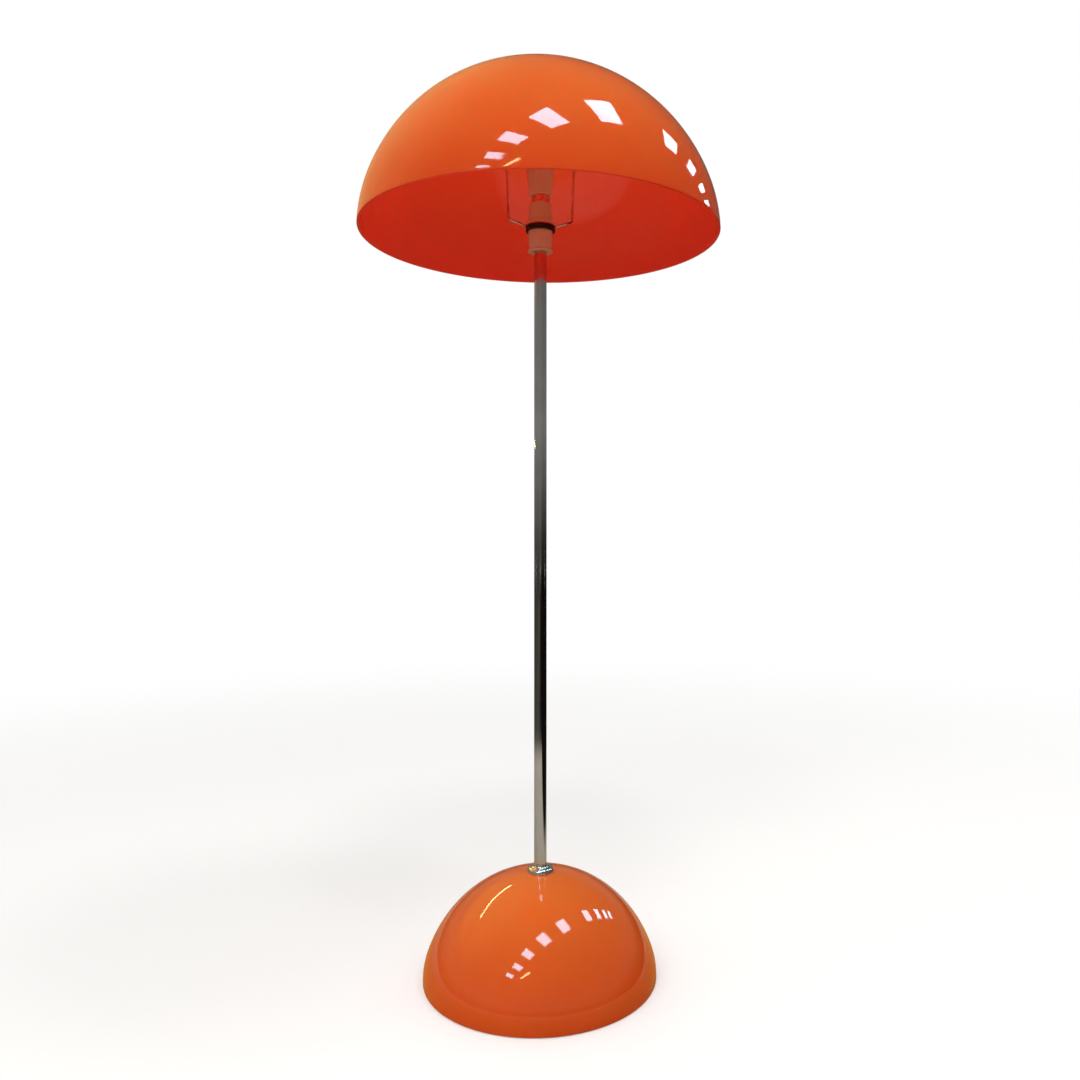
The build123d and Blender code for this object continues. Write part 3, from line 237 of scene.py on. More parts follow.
def dome_loop(radius, rim, upright, crown_z, shoulder, wall, edge, hole, flat, boss=None, rebate=None):
    """Closed half section of a domed shell, in metres. The shoulder arc is upright at
    one level, below which the wall drops straight, and the crown arc about the axis is
    tangent to it: with rise h above that level and reach a = radius - shoulder, the
    crown's radius is (h^2 + a^2 - shoulder^2) / (2 (h - shoulder)). The inside is one
    wall smaller, and the rim cuts both sides where it meets them. A rebate is cut
    inside the rim, to its own radius and height."""
    edge_count, shoulder_count, crown_count, inside_count = 9, 40, 90, 80
    seat_bevel, hole_bevel, boss_bevel, rebate_bevel = 0.0002, 0.0003, 0.0004, 0.0002
    rise = crown_z - upright
    reach = radius - shoulder
    crown = (rise**2 + reach**2 - shoulder**2) / (2 * (rise - shoulder))
    middle = upright + rise - crown
    turn = math.degrees(math.atan2(upright - middle, reach))
    flat_turn = math.degrees(math.acos(flat / crown))
    inner_r = boss[0] if boss else hole
    inner_turn = math.degrees(math.acos(inner_r / (crown - wall)))
    flat_z = middle + math.sqrt(crown**2 - flat**2)
    above = max(0.0, rim + edge - upright)
    outer_cut = math.degrees(math.asin(above / shoulder))
    inner_cut = math.degrees(math.asin(above / (shoulder - wall)))
    outer_r = reach + math.sqrt(shoulder**2 - above**2)
    rim_r = reach + math.sqrt((shoulder - wall)**2 - above**2)
    pieces = [
        arc_points((outer_r - edge, rim + edge), edge, -90, 0, edge_count),
        arc_points((reach, upright), shoulder, outer_cut, turn, shoulder_count)[0 if above == 0.0 else 1:],
        arc_points((0.0, middle), crown, turn, flat_turn, crown_count)[1:],
        [(flat - seat_bevel, flat_z), (hole + hole_bevel, flat_z), (hole, flat_z - hole_bevel)],
    ]
    if boss:
        boss_r, boss_z = boss
        pieces.append([(hole, boss_z + hole_bevel), (hole + hole_bevel, boss_z), (boss_r - boss_bevel, boss_z),
                       (boss_r, boss_z + boss_bevel)])
    pieces += [
        arc_points((0.0, middle), crown - wall, inner_turn, turn, inside_count),
        arc_points((reach, upright), shoulder - wall, turn, inner_cut, shoulder_count)[
            1:None if above == 0.0 else -1],
    ]
    if rebate:
        rebate_r, rebate_z = rebate
        pieces.append([(rim_r, rebate_z + rebate_bevel), (rim_r + rebate_bevel, rebate_z), (rebate_r, rebate_z),
                       (rebate_r, rim + rebate_bevel), (rebate_r + rebate_bevel, rim)])
    else:
        pieces.append(arc_points((rim_r + edge, rim + edge), edge, 180, 270, edge_count))
    return np.concatenate([np.asarray(piece, dtype=float) for piece in pieces])


def grid_mesh(name, points, wrap_rows, wrap_columns, smooth=35.0):
    """A mesh over a grid of points: corner (i, j) joins its neighbours in both
    directions, and a wrapped direction closes on itself. Points that fall together at
    a pole, to a tenth of a micrometre, become one."""
    rows, columns = points.shape[:2]
    flat_points = points.reshape(-1, 3)
    near = np.round(flat_points * 1e7).astype(np.int64)
    _, first, same = np.unique(near, axis=0, return_index=True, return_inverse=True)
    i = np.arange(rows if wrap_rows else rows - 1)[:, None]
    j = np.arange(columns if wrap_columns else columns - 1)[None, :]
    i1, j1 = (i + 1) % rows, (j + 1) % columns
    corners = [i * columns + j, i1 * columns + j, i1 * columns + j1, i * columns + j1]
    faces = same.ravel()[np.stack([corner.ravel() for corner in np.broadcast_arrays(*corners)], axis=1)]
    whole = (faces != np.roll(faces, -1, axis=1)).all(axis=1)
    fans = [list(dict.fromkeys(face)) for face in faces[~whole].tolist()]
    mesh = bpy.data.meshes.new(name)
    mesh.from_pydata(flat_points[first], [], faces[whole].tolist() + [fan for fan in fans if len(fan) > 2])
    mesh.shade_smooth()
    mesh.set_sharp_from_angle(angle=math.radians(smooth))
    made = bpy.data.objects.new(name, mesh)
    bpy.context.scene.collection.objects.link(made)
    return made


def turned(name, loop, segments, smooth=35.0):
    """A closed half section carried once round the upright axis: point (i, j) is the
    loop's point j turned by i of the even steps."""
    angle = np.linspace(0.0, 2 * math.pi, segments, endpoint=False)[:, None]
    radius, height = loop[None, :, 0], loop[None, :, 1]
    points = np.stack([radius * np.cos(angle), radius * np.sin(angle), height + 0 * angle], axis=2)
    return grid_mesh(name, points, True, True, smooth)


def stands_for(piece, body, slot, material, *nodes):
    """The made piece takes its CAD nodes' place, rides their body and is finished."""
    piece.data.materials.append(material)
    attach(piece, body)
    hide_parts(*nodes)


# Polished acrylic: one orange right through, that lets red light pass, with a mirror
# gloss, faint hairlines and the long slow waves that blowing leaves in the sheet.
# Its colour runs lighter and yellower from the rim to the crown: painted light on the top,
# where more light falls from above.
def acrylic_for(name, rim_z, crown_z, at_rim, at_crown, body, depth, reach=(1.0, 0.16, 0.06)):
    """The acrylic's colour runs from the rim's to the crown's with the height's share of
    the whole rise, and wanders a little within each."""
    made, tree, shader, place = material_for(
        name, at_rim, 0.05, Specular_IOR_Level=0.5, Subsurface_Weight=body, Subsurface_Scale=depth)
    shader.inputs["Subsurface Radius"].default_value = reach
    apart = add_node(tree, "ShaderNodeSeparateXYZ")
    rise = add_node(tree, "ShaderNodeMapRange", From_Min=rim_z, From_Max=crown_z)
    # The rim to crown mix paints the top lighter, as light from above would.
    _, toplit_by, toplit_rim, toplit_crown, toplit_colour = colour_mix(tree)
    drift = placed(tree, tone_drift, Light=(1.0, 1.0, 1.0, 1.0), Dark=(0.94, 0.91, 0.90, 1.0), Patch=6.0)
    over, over_by, over_a, over_b, over_colour = colour_mix(tree)
    over.blend_type = "MULTIPLY"
    over_by.default_value = 1.0
    toplit_rim.default_value = (*at_rim, 1.0)
    toplit_crown.default_value = (*at_crown, 1.0)
    tree.links.new(place, apart.inputs["Vector"])
    tree.links.new(apart.outputs["Z"], rise.inputs["Value"])
    tree.links.new(rise.outputs["Result"], toplit_by)
    tree.links.new(place, drift.inputs["Place"])
    tree.links.new(toplit_colour, over_a)
    tree.links.new(drift.outputs["Colour"], over_b)
    tree.links.new(over_colour, shader.inputs["Base Color"])
    marked(tree, shader, place, 0.03, 0.13)
    waves = add_node(tree, "ShaderNodeTexNoise", Scale=7.0, Detail=1.0, Roughness=0.4)
    tree.links.new(place, waves.inputs["Vector"])
    bumped(tree, shader, waves.outputs["Fac"], 0.03, 0.002)
    return made


# The crown colour is painted lighter than the rim's, for light falling on the top.
foot_acrylic = acrylic_for(
    "orange_acrylic_foot", rim_z=0.001, crown_z=0.125, at_rim=(0.765, 0.110, 0.016),
    at_crown=(0.785, 0.165, 0.026), body=0.5, depth=0.004)
foot_section = dome_loop(
    radius=0.1395, rim=0.0008, upright=0.005, crown_z=0.125, shoulder=0.072, wall=0.003, edge=0.0007,
    hole=0.0078, flat=0.015, rebate=(0.138, 0.0035))
foot_dome = turned("foot_dome", foot_section, 288)

# The gland's hole is drilled square through the back wall.
drill_turn = np.linspace(0.0, 2 * math.pi, 48, endpoint=False)[:, None]
drill_radius, drill_level, drill_from, drill_to = 0.0042, 0.0105, 0.130, 0.150
drill_y = np.array([[drill_from, drill_from, drill_to, drill_to]])
drill_r = np.array([[0.0, drill_radius, drill_radius, 0.0]])
drill_points = np.stack([drill_r * np.sin(drill_turn), drill_y + 0 * drill_turn,
                         drill_level + drill_r * np.cos(drill_turn)], axis=2)
drill = grid_mesh("gland_drill", drill_points, True, False)
cut = foot_dome.modifiers.new("gland_hole", "BOOLEAN")
cut.operation = "DIFFERENCE"
cut.object = drill
cut.solver = "EXACT"
drilled = bpy.data.meshes.new_from_object(foot_dome.evaluated_get(bpy.context.evaluated_depsgraph_get()))
foot_dome.modifiers.clear()
foot_dome.data = drilled
bpy.data.objects.remove(drill)
stands_for(foot_dome, "stand", "orange_acrylic", foot_acrylic, "foot_shell")

# ---------------------------------------------------------------- gland, bushes and washers
# Black moulded rubber: the gland in the back wall where the cord comes in, the bush at
# the tube's side hole, the collar's gasket and the two washers that hold the shade.
rubber, tree, shader, place = material_for("black_rubber", (0.022, 0.022, 0.022), 0.6, Specular_IOR_Level=0.4)
drifting(tree, shader, place, (0.027, 0.027, 0.027), (0.016, 0.016, 0.017), 120.0)
bloom = add_node(tree, "ShaderNodeTexNoise", Scale=900.0, Detail=3.0)
tree.links.new(place, bloom.inputs["Vector"])
bumped(tree, shader, bloom.outputs["Fac"], 0.35, 0.0002)
dress(rubber, "cord_gland", "lead_bush", "collar_gasket", "shade_seat_washer", "shade_top_washer")

# ---------------------------------------------------------------- tube and collar
# Drawn steel tube, ground, nickelled and chromed, with the fine upright lines that
# decades of wiping left, and a spun collar that hides the joint with the foot. The
# collar's chrome has worn down to its warmer, duller nickel.
chrome, tree, shader, place = material_for("polished_chrome", (0.66, 0.65, 0.63), 0.07, metallic=1.0)
drifting(tree, shader, place, (0.70, 0.69, 0.67), (0.60, 0.59, 0.565), 26.0)
draw_lines = add_node(tree, "ShaderNodeMapping", Scale=(900.0, 900.0, 6.0))
draw_noise = add_node(tree, "ShaderNodeTexNoise", Scale=1.0, Detail=3.0, Roughness=0.6)
draw_rough = add_node(tree, "ShaderNodeMapRange", From_Min=0.3, From_Max=0.75, To_Min=0.05, To_Max=0.14)
tree.links.new(place, draw_lines.inputs["Vector"])
tree.links.new(draw_lines.outputs["Vector"], draw_noise.inputs["Vector"])
tree.links.new(draw_noise.outputs["Fac"], draw_rough.inputs["Value"])
tree.links.new(draw_rough.outputs["Result"], shader.inputs["Roughness"])
dress(chrome, "pole_tube", "shade_finial")

aged_nickel, tree, shader, place = material_for("aged_nickel_collar", (0.76, 0.67, 0.60), 0.30, metallic=1.0)
drifting(tree, shader, place, (0.80, 0.71, 0.64), (0.68, 0.59, 0.52), 60.0)
marked(tree, shader, place, 0.27, 0.40, 2.0)
dress(aged_nickel, "foot_collar")

# ---------------------------------------------------------------- wiring in the foot
# White moulded block with brass clamps on the casting, two sleeved live leads that
# climb the tube, and a striped earth lead to a crimped tag.
white_thermoset, tree, shader, place = material_for(
    "white_thermoset", (0.80, 0.78, 0.72), 0.28, Specular_IOR_Level=0.5)
drifting(tree, shader, place, (0.82, 0.80, 0.745), (0.76, 0.735, 0.67), 70.0)
marked(tree, shader, place, 0.25, 0.4, 2.5)
dress(white_thermoset, "terminal_block", "holder_insert")

brass, tree, shader, place = material_for("turned_brass", (0.72, 0.52, 0.23), 0.25, metallic=1.0)
drifting(tree, shader, place, (0.76, 0.56, 0.26), (0.62, 0.43, 0.18), 110.0)
marked(tree, shader, place, 0.2, 0.45, 4.0)
dress(brass, "clamp_screws", "earth_tag", "head_nipple", "holder_posts", "post_screws", "plunger_left",
      "plunger_right")

for sleeve_name, light, dark in (
    ("lead_brown", (0.13, 0.055, 0.022), (0.10, 0.04, 0.016)),
    ("lead_blue", (0.03, 0.12, 0.42), (0.02, 0.09, 0.34)),
):
    sleeve, tree, shader, place = material_for(sleeve_name + "_sleeve", light, 0.4)
    drifting(tree, shader, place, light, dark, 60.0)
    marked(tree, shader, place, 0.38, 0.5, 3.0)
    dress(sleeve, sleeve_name)

# Green and yellow run side by side along the earth sleeve.
striped, tree, shader, place = material_for("lead_earth_sleeve", (0.2, 0.4, 0.03), 0.4)
apart = add_node(tree, "ShaderNodeSeparateXYZ")
stripe = add_node(tree, "ShaderNodeMath", operation="SINE")
stripe_scale = add_node(tree, "ShaderNodeMath", operation="MULTIPLY")
stripe_scale.inputs[1].default_value = 1100.0
stripe_edge = add_node(tree, "ShaderNodeMapRange", From_Min=-0.1, From_Max=0.1)
_, stripe_by, stripe_yellow, stripe_green, stripe_colour = colour_mix(tree)
stripe_yellow.default_value = (0.62, 0.56, 0.02, 1.0)
stripe_green.default_value = (0.02, 0.22, 0.04, 1.0)
tree.links.new(place, apart.inputs["Vector"])
tree.links.new(apart.outputs["Z"], stripe_scale.inputs[0])
tree.links.new(stripe_scale.outputs["Value"], stripe.inputs[0])
tree.links.new(stripe.outputs["Value"], stripe_edge.inputs["Value"])
tree.links.new(stripe_edge.outputs["Result"], stripe_by)
tree.links.new(stripe_colour, shader.inputs["Base Color"])
dress(striped, "lead_earth")

# ---------------------------------------------------------------- lampholder
# A three part holder: white thermoset cap and skirt either side of a black ring nut,
# with a nickelled barrel inside that takes the bulb's two pins.
def from_millimetres(*rows):
    """Joins straight points and arcs of a half section, given in millimetres."""
    return np.concatenate([np.atleast_2d(np.asarray(row, dtype=float)) for row in rows]) / 1000.0


cap_loop = from_millimetres(
    arc_points((14.15, 871.95), 0.85, -90, 90, 11),
    arc_points((15.7, 875.2), 2.1, 215, 180, 7),
    (13.65, 876.3), (13.9, 881.2), (14.3, 888.4), (14.66, 895.0),
    arc_points((14.38, 895.4), 0.3, 10, 90, 5),
    (12.75, 895.7), (12.7, 895.6), (12.7, 879.9), (12.6, 879.8), (5.1, 879.8), (5.05, 879.7),
    (5.05, 877.4), (5.1, 877.3), (7.75, 877.3), (7.8, 877.2), (7.8, 871.5), (8.1, 871.1),
)
holder_cap = turned("holder_cap_turned", cap_loop, 128, 40.0)
stands_for(holder_cap, "stand", "holder_white", white_thermoset, "holder_cap")

skirt_loop = from_millimetres(
    (9.0, 889.0), (12.5, 889.0), (12.6, 889.1), (12.6, 903.7), (16.6, 903.7), (16.8, 903.9),
    arc_points((16.4, 906.9), 0.4, 0, 90, 6),
    arc_points((15.31, 907.9), 0.6, 270, 180, 6),
    (14.3, 914.0), (13.83, 921.0),
    arc_points((12.95, 928.65), 0.35, 0, 180, 11),
    (13.02, 921.0), (13.38, 914.0), (13.75, 907.05), (13.7, 907.0), (11.05, 907.0), (11.0, 906.9),
    (11.0, 890.05), (10.95, 890.0), (9.05, 890.0), (9.0, 889.95),
)
holder_skirt = turned("holder_skirt_turned", skirt_loop, 128, 40.0)
stands_for(holder_skirt, "stand", "holder_white", white_thermoset, "holder_skirt")

black_thermoset, tree, shader, place = material_for(
    "black_thermoset", (0.012, 0.011, 0.011), 0.3, Specular_IOR_Level=0.4)
drifting(tree, shader, place, (0.015, 0.014, 0.014), (0.009, 0.009, 0.009), 60.0)
marked(tree, shader, place, 0.28, 0.45, 3.0)

# Sixty shallow grip ribs stand round the ring nut on both sides of its groove: the
# radius swells by a rounded comb of the angle, faded out at the edges and the groove.
ribs, rib_depth = 60, 0.28
ring_heights = np.array([895.7, 895.7, 896.05, 896.5, 897.7, 898.15, 898.5, 898.95, 899.4, 899.75, 900.2,
                         901.4, 901.85, 902.2, 902.2, 902.1, 895.8])
ring_radii = np.array([12.8, 17.3, 17.7, 17.8, 17.8, 17.7, 17.4, 17.0, 17.4, 17.7, 17.8, 17.8,
                       17.7, 17.3, 12.8, 12.7, 12.7])
ring_rib = np.array([0, 0, 0.1, 1, 1, 0.6, 0, 0, 0, 0.6, 1, 1, 0.1, 0, 0, 0, 0])
ring_turn = np.linspace(0.0, 2 * math.pi, 8 * ribs, endpoint=False)[:, None]
rib = rib_depth * (np.abs(np.sin(ribs / 2 * ring_turn)) ** 0.6 - 1.0)
ring_r = (ring_radii[None, :] + rib * ring_rib[None, :]) / 1000.0
ring_points = np.stack([ring_r * np.cos(ring_turn), ring_r * np.sin(ring_turn),
                        ring_heights[None, :] / 1000.0 + 0 * ring_turn], axis=2)
ring_nut = grid_mesh("lock_ring_ribbed", ring_points, True, True, 30.0)
stands_for(ring_nut, "stand", "ring_black", black_thermoset, "lock_ring")

nickel, tree, shader, place = material_for("bright_nickel", (0.62, 0.59, 0.54), 0.16, metallic=1.0)
drifting(tree, shader, place, (0.66, 0.63, 0.58), (0.54, 0.51, 0.46), 90.0)
marked(tree, shader, place, 0.13, 0.35, 4.0)
dress(nickel, "holder_barrel", "carrier_ring", "carrier_disc", "spring_left", "spring_right")


# ---------------------------------------------------------------- shade carrier
# Two arms of 3 mm steel wire, bent cold on pins and nickel plated. They leave the sheet
# ring, rise past the bulb and turn in to the disc that the shade hangs on.
def bent_route(corners, bends, step):
    """The centre line of a bent wire: straight runs joined by tangent arcs. At each
    corner the arc starts and ends bend x tan(half the turn) away from it, and its
    points swing from one tangent to the other about the arc's centre."""
    corners = np.asarray(corners, dtype=float)
    parts = [corners[:1]]
    for before, corner, after, bend in zip(corners[:-2], corners[1:-1], corners[2:], bends):
        arrive = (corner - before) / np.linalg.norm(corner - before)
        leave = (after - corner) / np.linalg.norm(after - corner)
        turn = math.acos(float(np.clip(arrive @ leave, -1.0, 1.0)))
        start = corner - arrive * bend * math.tan(turn / 2)
        inward = leave - arrive * (arrive @ leave)
        inward /= np.linalg.norm(inward)
        swing = np.linspace(0.0, turn, max(4, int(turn * bend / step)))[:, None]
        parts.append(start + bend * (arrive * np.sin(swing) + inward * (1 - np.cos(swing))))
    parts.append(corners[-1:])
    return np.concatenate(parts)


def wire_along(name, route, radius, sides):
    """A round wire along a line that lies in one upright plane: each ring is the line's
    point plus radius x (cos, sin) across the plane's normal and the line's own normal.
    At both ends the rings draw in to one point, which makes a flat sawn end."""
    bevel = 0.15
    along = np.gradient(route, axis=0)
    along /= np.linalg.norm(along, axis=1, keepdims=True)
    across = np.cross(along[0], (0.0, 0.0, 1.0))
    across /= np.linalg.norm(across)
    up = np.cross(across, along)
    line = np.concatenate([route[:1], route[:1], route, route[-1:], route[-1:]])
    up = np.concatenate([up[:1], up[:1], up, up[-1:], up[-1:]])
    sizes = np.concatenate([[0.0, 1.0 - bevel], np.ones(len(route)), [1.0 - bevel, 0.0]])
    line[2] += along[0] * radius * bevel
    line[-3] -= along[-1] * radius * bevel
    turn = np.linspace(0.0, 2 * math.pi, sides, endpoint=False)
    ring = np.cos(turn)[None, :, None] * across + np.sin(turn)[None, :, None] * up[:, None, :]
    points = line[:, None, :] + radius * sizes[:, None, None] * ring
    return grid_mesh(name, points, False, True, 60.0)


carrier_turn = math.radians(5.5)
arm_radius, arm_bends = 0.0015, (0.004, 0.010, 0.008)
arm_corners = [(18.6, 902.95), (38.5, 909.9), (43.4, 1047.98), (20.0, 1074.48), (9.0, 1074.48)]
for side, turn in (("right", carrier_turn), ("left", carrier_turn + math.pi)):
    corners = [(reach * math.cos(turn) / 1000, reach * math.sin(turn) / 1000, height / 1000)
               for reach, height in arm_corners]
    arm = wire_along("arm_" + side, bent_route(corners, arm_bends, step=0.0004), arm_radius, sides=24)
    stands_for(arm, "stand", "nickel_wire", nickel, "carrier_arm_" + side)

# ---------------------------------------------------------------- bulb
# A household bulb with a 22 mm two pin cap, a white flared housing and an opal globe.
# It is unlit, so the globe is plain milky plastic.
alloy, tree, shader, place = material_for("bulb_cap_alloy", (0.66, 0.65, 0.62), 0.3, metallic=1.0)
drifting(tree, shader, place, (0.7, 0.69, 0.66), (0.58, 0.57, 0.54), 100.0)
marked(tree, shader, place, 0.26, 0.45, 4.0)
dress(alloy, "bulb_cap", "bulb_pins")

solder, tree, shader, place = material_for("dull_solder", (0.5, 0.5, 0.49), 0.45, metallic=1.0)
drifting(tree, shader, place, (0.55, 0.55, 0.54), (0.42, 0.42, 0.41), 400.0)
dress(solder, "bulb_contacts")

glaze, tree, shader, place = material_for("black_glaze", (0.01, 0.01, 0.012), 0.12)
drifting(tree, shader, place, (0.012, 0.012, 0.014), (0.007, 0.007, 0.008), 150.0)
dress(glaze, "bulb_insulator")

housing_white, tree, shader, place = material_for("bulb_white_plastic", (0.82, 0.82, 0.80), 0.35)
drifting(tree, shader, place, (0.84, 0.84, 0.82), (0.79, 0.79, 0.765), 40.0)
marked(tree, shader, place, 0.33, 0.45, 2.0)
dress(housing_white, "bulb_housing")

opal, tree, shader, place = material_for("opal_globe", (0.86, 0.86, 0.84), 0.22, Specular_IOR_Level=0.5)
drifting(tree, shader, place, (0.88, 0.88, 0.86), (0.84, 0.84, 0.815), 25.0)
marked(tree, shader, place, 0.2, 0.34, 2.0)
dress(opal, "bulb_globe")

board_white, tree, shader, place = material_for("led_board_white", (0.8, 0.8, 0.78), 0.5)
drifting(tree, shader, place, (0.82, 0.82, 0.8), (0.76, 0.76, 0.74), 90.0)
dress(board_white, "led_board")

phosphor, tree, shader, place = material_for("led_phosphor", (0.8, 0.62, 0.12), 0.4)
drifting(tree, shader, place, (0.84, 0.66, 0.14), (0.75, 0.56, 0.1), 600.0)
dress(phosphor, "led_chips")

board_green, tree, shader, place = material_for("driver_board_green", (0.02, 0.2, 0.07), 0.35)
drifting(tree, shader, place, (0.03, 0.24, 0.09), (0.015, 0.15, 0.05), 300.0)
dress(board_green, "driver_board")

# ---------------------------------------------------------------- shade
# The same orange acrylic as the foot, blown into a wide dome and left open below. A
# boss inside its crown sits on the carrier, and its rim is flame polished.
shade_rim, shade_crown, shade_segments = 0.890, 1.085, 360
shade_section = dome_loop(
    radius=0.216, rim=shade_rim, upright=0.88196, crown_z=shade_crown, shoulder=0.17604, wall=0.003,
    edge=0.0012, hole=0.00325, flat=0.014, boss=(0.017, 1.079))
shade_dome = turned("shade_dome", shade_section, shade_segments)
# The crown colour is painted lighter than the rim's, for light falling on the top.
shade_acrylic = acrylic_for(
    "orange_acrylic_shade", shade_rim, shade_crown, at_rim=(0.82, 0.130, 0.021),
    at_crown=(0.815, 0.190, 0.031), body=1.0, depth=0.008)
stands_for(shade_dome, "shade", "orange_acrylic", shade_acrylic, "shade_shell")

# Inside, a lighter copy of the same acrylic, with light reaching deeper, paints the glow of
# the light that comes through the wall, and looks deep red.
painted_glow_inside = acrylic_for(
    "orange_acrylic_inside_painted_glow", shade_rim, shade_crown, at_rim=(0.94, 0.25, 0.24),
    at_crown=(0.94, 0.35, 0.16), body=1.0, depth=0.020, reach=(1.0, 0.26, 0.24))
shade_dome.data.materials.append(painted_glow_inside)
by_the_hole = shade_section[:, 0] < 0.0036
top_of_loop = int(np.argmax(shade_section[:, 1] * by_the_hole))
inner_side = np.arange(len(shade_section)) > top_of_loop
which_side = np.tile(inner_side, shade_segments).astype(np.int32)
shade_dome.data.polygons.foreach_set("material_index", which_side)

# ---------------------------------------------------------------- studio
# A plain pale floor that fades into a white surround, square ceiling panels in a
# slanting row, and two warm tubes. Only chrome and gloss see the dark drapes and the
# mat. None of this belongs to the lamp.
def flat_square(name, half, level):
    """A level square about the axis that faces up: its corners are at plus and minus
    half in both directions."""
    corners = [[[x, y, level] for y in (-half, half)] for x in (-half, half)]
    return grid_mesh(name, np.array(corners), False, False)


def soft_step(tree, start, end, **values):
    """A value that eases from its first end to its second between two others."""
    return add_node(tree, "ShaderNodeMapRange", interpolation_type="SMOOTHSTEP", From_Min=start,
                    From_Max=end, **values)


def looked_at(tree):
    """One for rays from the camera, from gloss and through clear things, else zero."""
    rays = add_node(tree, "ShaderNodeLightPath")
    seen_or_gloss = add_node(tree, "ShaderNodeMath", operation="MAXIMUM")
    seen_or_through = add_node(tree, "ShaderNodeMath", operation="MAXIMUM")
    tree.links.new(rays.outputs["Is Camera Ray"], seen_or_gloss.inputs[0])
    tree.links.new(rays.outputs["Is Glossy Ray"], seen_or_gloss.inputs[1])
    tree.links.new(seen_or_gloss.outputs["Value"], seen_or_through.inputs[0])
    tree.links.new(rays.outputs["Is Transmission Ray"], seen_or_through.inputs[1])
    return seen_or_through.outputs["Value"]


floor = flat_square("studio_floor", 20.0, 0.0)
pale, tree, shader, place = material_for("pale_floor", (0.82, 0.815, 0.80), 0.9, Specular_IOR_Level=0.1)
away = add_node(tree, "ShaderNodeVectorMath", operation="LENGTH")
fade = soft_step(tree, 0.6, 2.6)
lift = add_node(tree, "ShaderNodeEmission", Strength=0.22)
glow = add_node(tree, "ShaderNodeEmission", Strength=1.0)
near_floor = add_node(tree, "ShaderNodeAddShader")
far_floor = add_node(tree, "ShaderNodeMixShader")
# For bounced light the floor is painted red: it throws red light up under the shade in place of the shade's own
# glow.
red_bounce_floor = add_node(tree, "ShaderNodeBsdfDiffuse", Color=(0.55, 0.15, 0.07, 1.0))
seen_floor = add_node(tree, "ShaderNodeMixShader")
out = tree.nodes["Material Output"]
tree.links.new(place, away.inputs[0])
tree.links.new(away.outputs["Value"], fade.inputs["Value"])
tree.links.new(shader.outputs["BSDF"], near_floor.inputs[0])
tree.links.new(lift.outputs["Emission"], near_floor.inputs[1])
tree.links.new(fade.outputs["Result"], far_floor.inputs["Fac"])
tree.links.new(near_floor.outputs["Shader"], far_floor.inputs[1])
tree.links.new(glow.outputs["Emission"], far_floor.inputs[2])
tree.links.new(looked_at(tree), seen_floor.inputs["Fac"])
tree.links.new(red_bounce_floor.outputs["BSDF"], seen_floor.inputs[1])
tree.links.new(far_floor.outputs["Shader"], seen_floor.inputs[2])
tree.links.new(seen_floor.outputs["Shader"], out.inputs["Surface"])
floor.data.materials.append(pale)

# World: white to the camera and in clear things; for the light, dim at the horizon,
# brighter overhead, and brighter on the left than on the right.
world = bpy.data.worlds.new("studio_world")
world.use_nodes = True
bpy.context.scene.world = world
tree = world.node_tree
around = add_node(tree, "ShaderNodeTexCoord")
heights = add_node(tree, "ShaderNodeSeparateXYZ")
ramp = add_node(tree, "ShaderNodeValToRGB")
ramp.color_ramp.elements[0].position = 0.0
ramp.color_ramp.elements[0].color = (0.36, 0.36, 0.36, 1.0)
ramp.color_ramp.elements[1].position = 1.0
ramp.color_ramp.elements[1].color = (0.75, 0.75, 0.75, 1.0)
for position, grey in ((0.12, 0.38), (0.3, 0.44), (0.6, 0.6)):
    ramp.color_ramp.elements.new(position).color = (grey, grey, grey, 1.0)
to_left = add_node(tree, "ShaderNodeMapRange", From_Min=-1.0, From_Max=1.0, To_Min=1.50, To_Max=0.42)
room = tree.nodes["Background"]
white = add_node(tree, "ShaderNodeBackground", Color=(1.0, 1.0, 1.0, 1.0), Strength=1.0)
which = add_node(tree, "ShaderNodeMixShader")
tree.links.new(around.outputs["Generated"], heights.inputs["Vector"])
tree.links.new(heights.outputs["Z"], ramp.inputs["Fac"])
tree.links.new(ramp.outputs["Color"], room.inputs["Color"])
tree.links.new(heights.outputs["X"], to_left.inputs["Value"])
tree.links.new(to_left.outputs["Result"], room.inputs["Strength"])
tree.links.new(looked_at(tree), which.inputs["Fac"])
tree.links.new(room.outputs["Background"], which.inputs[1])
tree.links.new(white.outputs["Background"], which.inputs[2])
tree.links.new(which.outputs["Shader"], tree.nodes["World Output"].inputs["Surface"])


def for_mirrors_only(thing):
    """A studio piece that only chrome and gloss reflect: it is neither seen nor lights
    nor shades anything."""
    thing.visible_camera = False
    thing.visible_diffuse = False
    thing.visible_transmission = False
    thing.visible_volume_scatter = False
    thing.visible_shadow = False


# The drapes are one half globe round the lamp: point (i, j) is radius x the direction at
# azimuth i and elevation j. They are dark low down, darkest there on the right, and warm
# high up behind on the left.
turn = np.linspace(0.0, 2 * math.pi, 64, endpoint=False)[:, None]
climb = np.radians(np.linspace(-4.0, 90.0, 40))[None, :]
drape_radius = 9.0
drape_points = drape_radius * np.stack([
    np.cos(turn) * np.cos(climb), np.sin(turn) * np.cos(climb), np.sin(climb) + 0 * turn], axis=2)
drapes = grid_mesh("studio_drapes", drape_points, True, False)
for_mirrors_only(drapes)
drape_cloth = bpy.data.materials.new("drape_cloth")
drape_cloth.use_nodes = True
tree = drape_cloth.node_tree
tree.nodes.clear()
place = add_node(tree, "ShaderNodeTexCoord").outputs["Object"]
facing_way = add_node(tree, "ShaderNodeVectorMath", operation="NORMALIZE")
apart = add_node(tree, "ShaderNodeSeparateXYZ")
by_height = add_node(tree, "ShaderNodeValToRGB")
by_height.color_ramp.elements[0].position = 0.0
by_height.color_ramp.elements[0].color = (0.06, 0.057, 0.05, 1.0)
by_height.color_ramp.elements[1].position = 1.0
by_height.color_ramp.elements[1].color = (0.12, 0.10, 0.08, 1.0)
